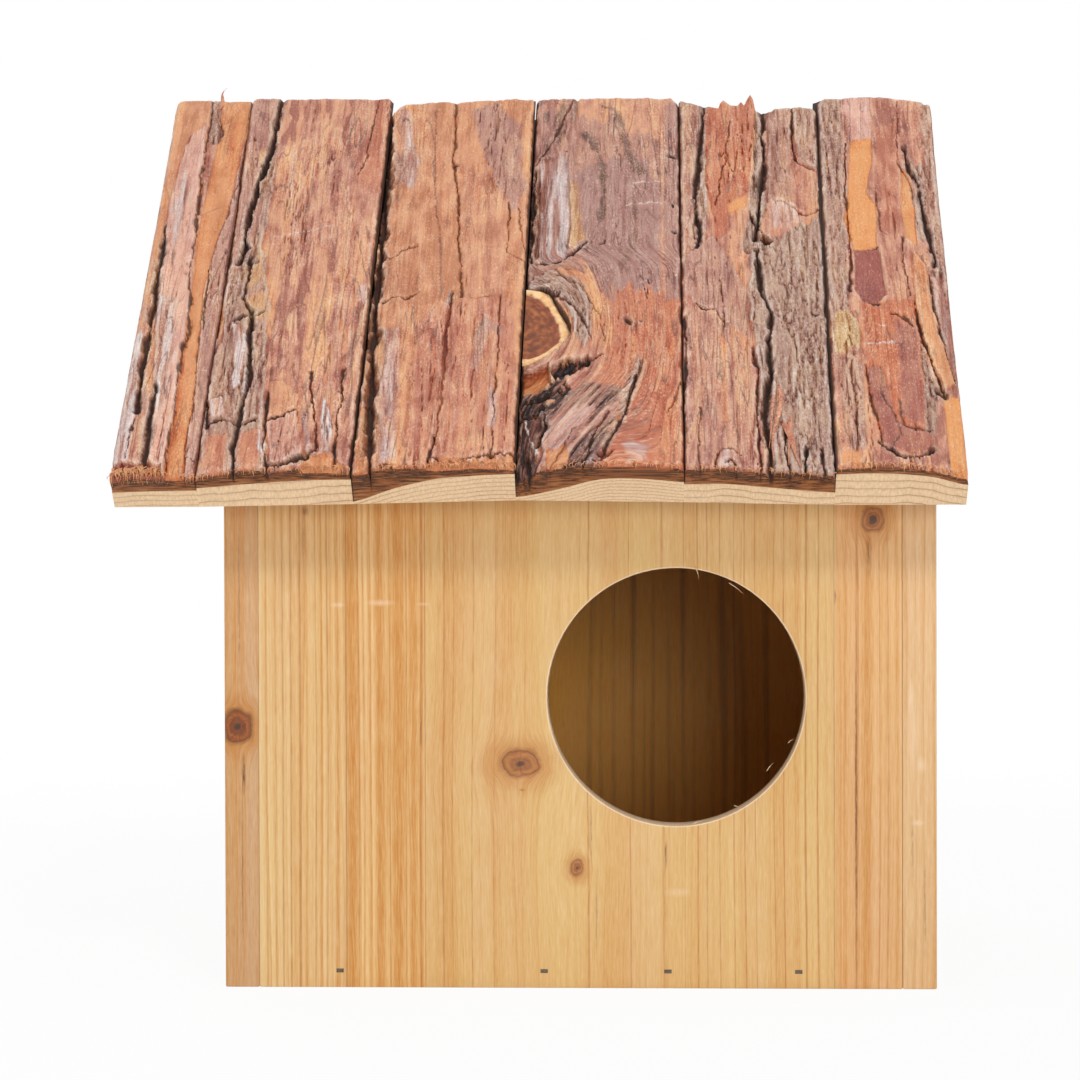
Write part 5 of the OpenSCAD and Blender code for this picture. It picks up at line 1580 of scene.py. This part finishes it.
def slab_piece(side, number, material):
    """The sawn wood of one slab, with its rings told by the depth under the bark."""
    wood, crown, underside, _ = bark_section(side, number)
    start, end = slope_reach(side)
    columns, rows = 32, 24
    left, right = wood[0][0], wood[0][-1]
    u, v = unit_grid(columns, rows)
    across = left + u * (right - left)
    out = np.interp(across, *wood)
    first = np.full(columns + 1, start)
    if side == FRONT:
        first = hidden_end(ridge_end(number, across[0], crown, start), crown[1].mean(), out[0], start)
    down = first + v * (end - first)
    low_x = across[:2]
    low_out = np.interp(low_x, *underside)
    low_down = down[[0, -1]]
    # The grain's third value counts the rings from the top of the wood down, one mm for each
    under = (low_out - out[:2]) / RING_DISTANCES[number - 1]
    top = (across, out, down)
    low = (low_x, low_out, low_down)
    grain = ((across, down, 0 * out), (low_x, low_down, under))
    piece = sheet_piece(f"{SIDES[side]}_slab_{number}_sawn", side, top, low, {}, grain, 30)
    inner_sides = {-1: number > 1, 1: number < SLABS}
    upwards = Vector((0, side * SIN, COS))
    # Painted shade and some dirt on the top under the bark and on the sides that face another slab
    stain = [float(face.normal.dot(upwards) > 0.5
                   or abs(face.normal.x) > 0.9 and inner_sides[1 if face.normal.x > 0 else -1])
             for face in piece.data.polygons]
    piece.data.attributes.new("stain", "FLOAT", "FACE").data.foreach_set("value", stain)
    return dress(piece, material, "roof", "slab_wood", f"roof_{SIDES[side]}_slab_{number}")


def strand_mesh():
    """One tapered strand along X from 0 to 1, modelled once and bent into each loose bit."""
    piece = start_mesh("cylinder", "strand", vertices=5, radius=0.5, depth=1)
    edit_edges(piece, lambda line: abs(line.verts[0].co.z - line.verts[1].co.z) > 0.5)
    bpy.ops.mesh.subdivide(number_cuts=5)
    bpy.ops.mesh.select_all(action="SELECT")
    bpy.ops.transform.rotate(value=math.pi / 2, orient_axis="Y", center_override=(0, 0, 0))
    bpy.ops.transform.translate(value=(0.5, 0, 0))
    bpy.ops.object.mode_set(mode="OBJECT")
    corners = np.zeros(len(piece.data.vertices) * 3)
    piece.data.vertices.foreach_get("co", corners)
    corners = corners.reshape(-1, 3)
    faces = [tuple(p.vertices) for p in piece.data.polygons]
    bpy.data.objects.remove(piece)
    return corners, faces


def bend_strand(strand, first, last, thickness, sag, draw):
    """Corners of a strand laid from one world place to another, in mm, tapered and a little bent."""
    along = strand[:, 0:1]
    run = np.array(last) - np.array(first)
    way = run / np.linalg.norm(run)
    side = np.cross(way, (0.0, 0.0, 1.0))
    side = side / max(np.linalg.norm(side), 0.01)
    lift = np.cross(side, way)
    swell = 0.55 + 0.45 * np.sin(np.pi * np.minimum(along * 1.2 + 0.1, 1))
    taper = thickness * (1 - 0.8 * along ** 1.5) * swell
    bow = sag * np.sin(np.pi * along)
    swing = draw.uniform(-0.6, 0.6) * thickness * np.sin(2 * np.pi * along)
    return (np.array(first) + along * run + side * (strand[:, 1:2] * taper + swing)
            + lift * (strand[:, 2:3] * taper * 0.6 + bow))


def join_strands(name, bits, faces, tint=None):
    """One piece from many strands, with the bark's masks set so that it can take one of its tints."""
    corners = np.concatenate(bits) * MM
    count = len(bits[0])
    all_faces = [tuple(index + count * n for index in face) for n in range(len(bits)) for face in faces]
    piece = start_mesh("plane", name)
    piece.data.clear_geometry()
    piece.data.from_pydata(corners.tolist(), [], all_faces)
    for mask in (*MASKS, "sawn") if tint else ():
        # Strands count as low crests, so they get a little painted light and glints
        value = {tint[0]: tint[1], "tone": 0.5, "wear": 0.6}.get(mask, 0.0)
        layer = piece.data.attributes.new(mask, "FLOAT", "POINT")
        layer.data.foreach_set("value", np.full(len(corners), value))
    flow = piece.data.attributes.new("grain", "FLOAT_VECTOR", "POINT")
    flow.data.foreach_set("vector", corners.ravel())
    face_outwards(piece)
    bpy.ops.object.shade_smooth_by_angle(angle=math.radians(50))
    return piece


class HOUSE_OT_walls(bpy.types.Operator):
    """Make the four planed walls and the floor board"""

    bl_idname = "squirrel_house.walls"
    bl_label = "Walls and Floor"

    def execute(self, context):
        boards = context.scene.house_boards
        materials = {
            "front_wall": pine_material("planed_pine_front", boards, None, knots=FRONT_KNOTS, burn=1.25,
                                        dark_marks=DARK_MARKS, pale_marks=PALE_MARKS, front=True),
            "left_wall": pine_material("planed_pine_left", boards, boards.left, knots=LEFT_KNOTS, burn=1.8,
                                       dark_marks=LEFT_DARK_MARKS),
            "right_wall": pine_material("planed_pine_right", boards, boards.pale, knots=RIGHT_KNOTS,
                                        dark_marks=RIGHT_DARK_MARKS, pale_marks=RIGHT_PALE_MARKS),
            "back_wall": pine_material("planed_pine_back", boards, boards.back, knots=BACK_KNOTS,
                                       inside=True),
            "floor_board": pine_material("planed_pine_floor", boards, boards.pale, upright=False),
        }
        for node, material in materials.items():
            piece = rounded_board(node, boards.edge, boards.rim if node == "front_wall" else 0)
            dress(piece, material, "box", "wall_pine", node)
        strand, faces = strand_mesh()
        draw = np.random.default_rng(5)
        bits = [bend_strand(strand, (x0, -HALF_D - 0.1, z0), (x1, -HALF_D - 0.4, z1), 0.45, 0.2, draw)
                for (x0, z0), (x1, z1) in RIM_SPLINTERS]
        rim = join_strands("entrance_splinters", bits, faces)
        dress(rim, materials["front_wall"], "box", "wall_pine")
        return {"FINISHED"}


class HOUSE_OT_beam(bpy.types.Operator):
    """Make the ridge beam and the two battens"""

    bl_idname = "squirrel_house.beam"
    bl_label = "Beam and Battens"

    def execute(self, context):
        boards = context.scene.house_boards
        material = pine_material("sawn_pine_batten", boards, boards.back, upright=False)
        for node in ("ridge_beam", "front_batten", "back_batten"):
            dress(rounded_board(node, boards.edge), material, "roof", "wall_pine", node)
        return {"FINISHED"}


class HOUSE_OT_brads(bpy.types.Operator):
    """Give the brads their dull steel"""

    bl_idname = "squirrel_house.brads"
    bl_label = "Brads"

    def execute(self, context):
        material = brad_material(context.scene.house_boards)
        for name, node in frame["nodes"].items():
            if name.endswith("_brads"):
                node.data.materials.clear()
                node.data.materials.append(material)
        return {"FINISHED"}


class HOUSE_OT_slabs(bpy.types.Operator):
    """Make the sawn wood of all twelve slabs"""

    bl_idname = "squirrel_house.slabs"
    bl_label = "Slab Wood"

    def execute(self, context):
        material = slab_wood_material(context.scene.house_bark)
        for side in (FRONT, BACK):
            for number in range(1, SLABS + 1):
                slab_piece(side, number, material)
        return {"FINISHED"}


class HOUSE_OT_bark(bpy.types.Operator):
    """Make the bark of all twelve slabs, in front as the photo shows it"""

    bl_idname = "squirrel_house.bark"
    bl_label = "Bark"

    def execute(self, context):
        bark = context.scene.house_bark
        material = shared_material("weathered_pine_bark", bark_material, bark)
        for side in (FRONT, BACK):
            for number in range(1, SLABS + 1):
                bark_piece(side, number, bark, material)
        return {"FINISHED"}


class HOUSE_OT_branch_knot(bpy.types.Operator):
    """Make the sawn face of the branch knot in the fourth slab"""

    bl_idname = "squirrel_house.branch_knot"
    bl_label = "Branch Knot"

    def execute(self, context):
        bark = context.scene.house_bark
        wood = bark_section(FRONT, KNOT_SLAB)[0]
        left = wood[0][0]
        steps, edge = knot_outline(left)
        columns, rows = 60, 120
        u, v = unit_grid(columns, rows)
        down = steps[0] + v * (steps[-1] - steps[0])
        rim = np.interp(down, steps, edge) + 0.25 * noise(down / 2, 0 * down, 41)
        climb = (slope_reach(FRONT)[1] - down) / KNOT_SEAM_LENGTH
        seam = left + 0.35 + SEAM_LEANS[KNOT_SLAB - 1] * climb
        across = seam + u * np.maximum(rim - seam, 0.4)
        centre_x, centre_down = left - 1, (steps[0] + steps[-1]) / 2
        away = np.hypot(across - centre_x, (down - centre_down) * 0.78)
        ring = away / np.maximum(np.hypot(rim - centre_x, (down - centre_down) * 0.78), 1)
        ring = np.maximum(ring, np.abs(down - centre_down) / (steps[-1] - steps[0]) * 1.85)
        relief = 0.18 * fractal(across / 3, down / 3, 43, 4) - 0.35 * smooth(ring, 0.55, 0.8)
        relief += 0.55 * smooth(ring, 0.78, 0.84) - 0.9 * smooth(ring, 0.93, 1.0)
        out = KNOT_TOP + 0.3 + relief
        low_x, low_down = across[[0, -1]], down[[0, -1]]
        low_out = np.full(low_x.shape, KNOT_TOP - 5.5)
        top = (across, out, down)
        low = (low_x, low_out, low_down)
        grain = ((across, down, out), (low_x, low_down, low_out))
        piece = sheet_piece("branch_knot", FRONT, top, low, {"ring": ring}, grain, 50)
        dress(piece, knot_material(bark), "roof", "slab_wood", f"roof_front_slab_{KNOT_SLAB}")
        return {"FINISHED"}


class HOUSE_OT_loose_bark(bpy.types.Operator):
    """Make the loose splinters and the frayed fibres along the eave"""

    bl_idname = "squirrel_house.loose_bark"
    bl_label = "Splinters and Fibres"

    def execute(self, context):
        material = shared_material("weathered_pine_bark", bark_material, context.scene.house_bark)
        strand, faces = strand_mesh()
        draw = np.random.default_rng(17)
        crowns = {n: bark_section(FRONT, n)[1] for n in range(1, SLABS + 1)}
        bits = []
        for slab, thickness, first, first_rise, last, last_rise in SPLINTERS:
            level = crowns[slab][1].mean()
            ends = seen_on_slope([first, last], level)
            places = [to_world(FRONT, x, np.interp(x, *crowns[slab]) + rise, down)
                      for (x, down), rise in zip(ends, (first_rise, last_rise))]
            bits.append(bend_strand(strand, *places, thickness, 0.5, draw))
        dress(join_strands("bark_splinters", bits, faces, ("rust", 0.45)), material, "roof", "bark")
        bits = []
        end = slope_reach(FRONT)[1]
        for slab, first, last, per_mm, hang in FRINGES:
            ends = seen_on_slope([(first, EAVE_PIXEL), (last, EAVE_PIXEL)], crowns[slab][1].mean())
            left = crowns[slab][0][0] + 0.3
            for x in np.arange(ends[0, 0], ends[1, 0], 1 / per_mm):
                x = max(x + draw.uniform(-0.5, 0.5), left)
                top = np.interp(x, *crowns[slab])
                root = (x, top - draw.uniform(0.1, 0.5), end - draw.uniform(0.2, 0.9) * hang)
                fall = draw.uniform(0.2, 1) * hang
                tip_x = max(x + draw.uniform(-0.7, 0.7) * hang, left)
                tip = (tip_x, top - fall, end + draw.uniform(0.2, 1.1))
                thickness, sag = draw.uniform(0.4, 0.8), draw.uniform(0.4, 1.6)
                places = [to_world(FRONT, *root), to_world(FRONT, *tip)]
                bits.append(bend_strand(strand, *places, thickness, sag, draw))
        dress(join_strands("bark_fibres", bits, faces, ("fresh", 0.75)), material, "roof", "bark")
        return {"FINISHED"}


class HOUSE_OT_stage(bpy.types.Operator):
    """Set up the floor, the lamps, the white background and the photo's camera"""

    bl_idname = "squirrel_house.stage"
    bl_label = "Stage"

    def execute(self, context):
        stage = context.scene.house_stage
        floor = start_mesh("plane", "studio_floor", size=12, location=(0, 0, 0))
        floor.data.materials.append(floor_material(stage))

        right, up, forward = photo_axes()
        camera = bpy.data.cameras.new("Camera")
        camera.sensor_width = stage.sensor / MM
        camera.lens = stage.lens / MM
        camera.clip_end = 20
        holder = bpy.data.objects.new("Camera", camera)
        turned = Matrix((right, up, -forward)).transposed().to_4x4()
        holder.matrix_world = Matrix.Translation(PHOTO_CAMERA * MM) @ turned
        context.scene.collection.objects.link(holder)
        context.scene.camera = holder

        # Name, power in watts, size and place in metres
        lamps = (
            ("key", stage.key, 0.25, Vector((0.3, -1.22, 1.25))),
            ("front", stage.front, 0.7, Vector((0.5, -1.75, 0.2))),
            ("fill", stage.fill, 1.0, Vector((-1.3, -0.8, 0.7))),
            ("overhead", stage.overhead, 0.7, Vector((0, -0.15, 1.5))),
            ("back", stage.back, 1.0, Vector((-0.7, 1.6, 0.9))),
        )
        middle_of_house = Vector((0, 0, 0.13))
        for name, power, size, place in lamps:
            lamp = bpy.data.lights.new(name, "AREA")
            lamp.energy = power
            lamp.size = size
            lamp_object = bpy.data.objects.new(name, lamp)
            lamp_object.location = place
            lamp_object.rotation_euler = (middle_of_house - place).to_track_quat("-Z", "Y").to_euler()
            context.scene.collection.objects.link(lamp_object)

        world = bpy.data.worlds.new("studio")
        world.use_nodes = True
        tree = world.node_tree
        tree.nodes.clear()
        seen = seen_directly(tree)
        sky = add(tree, "Background", {"Color": (1, 1, 1, 1), "Strength": stage.sky})
        white = add(tree, "Background", {"Color": (1, 1, 1, 1), "Strength": 1})
        both = add(tree, "MixShader", {0: seen, 1: sky, 2: white})
        add(tree, "OutputWorld", {"Surface": both})
        context.scene.world = world
        context.scene.view_settings.view_transform = "Standard"
        return {"FINISHED"}


class HOUSE_PT_panel(bpy.types.Panel):
    """Lists the steps that dress the squirrel house"""

    bl_idname = "HOUSE_PT_panel"
    bl_label = "Squirrel House"
    bl_space_type = "VIEW_3D"
    bl_region_type = "UI"
    bl_category = "Squirrel House"

    def draw(self, context):
        for step in STEPS:
            self.layout.operator(step.bl_idname)
        for name, kind in GROUPS.items():
            box = self.layout.box()
            for setting in kind.__annotations__:
                box.prop(getattr(context.scene, name), setting)


STEPS = (HOUSE_OT_stage, HOUSE_OT_walls, HOUSE_OT_beam, HOUSE_OT_brads, HOUSE_OT_slabs,
         HOUSE_OT_bark, HOUSE_OT_branch_knot, HOUSE_OT_loose_bark)
GROUPS = {"house_boards": HouseBoards, "house_bark": HouseBark, "house_stage": HouseStage}
CLASSES = (*GROUPS.values(), *STEPS, HOUSE_PT_panel)


def register():
    """Registers the settings, the operators and the panel."""
    for kind in CLASSES:
        bpy.utils.register_class(kind)
    for name, group in GROUPS.items():
        setattr(bpy.types.Scene, name, bpy.props.PointerProperty(type=group))


def unregister():
    """Takes out what register put in."""
    for name in GROUPS:
        delattr(bpy.types.Scene, name)
    for kind in reversed(CLASSES):
        bpy.utils.unregister_class(kind)


def main():
    """Registers the add-on and runs every step."""
    register()
    for step in STEPS:
        group, name = step.bl_idname.split(".")
        getattr(getattr(bpy.ops, group), name)()


if __name__ == "__main__":
    main()
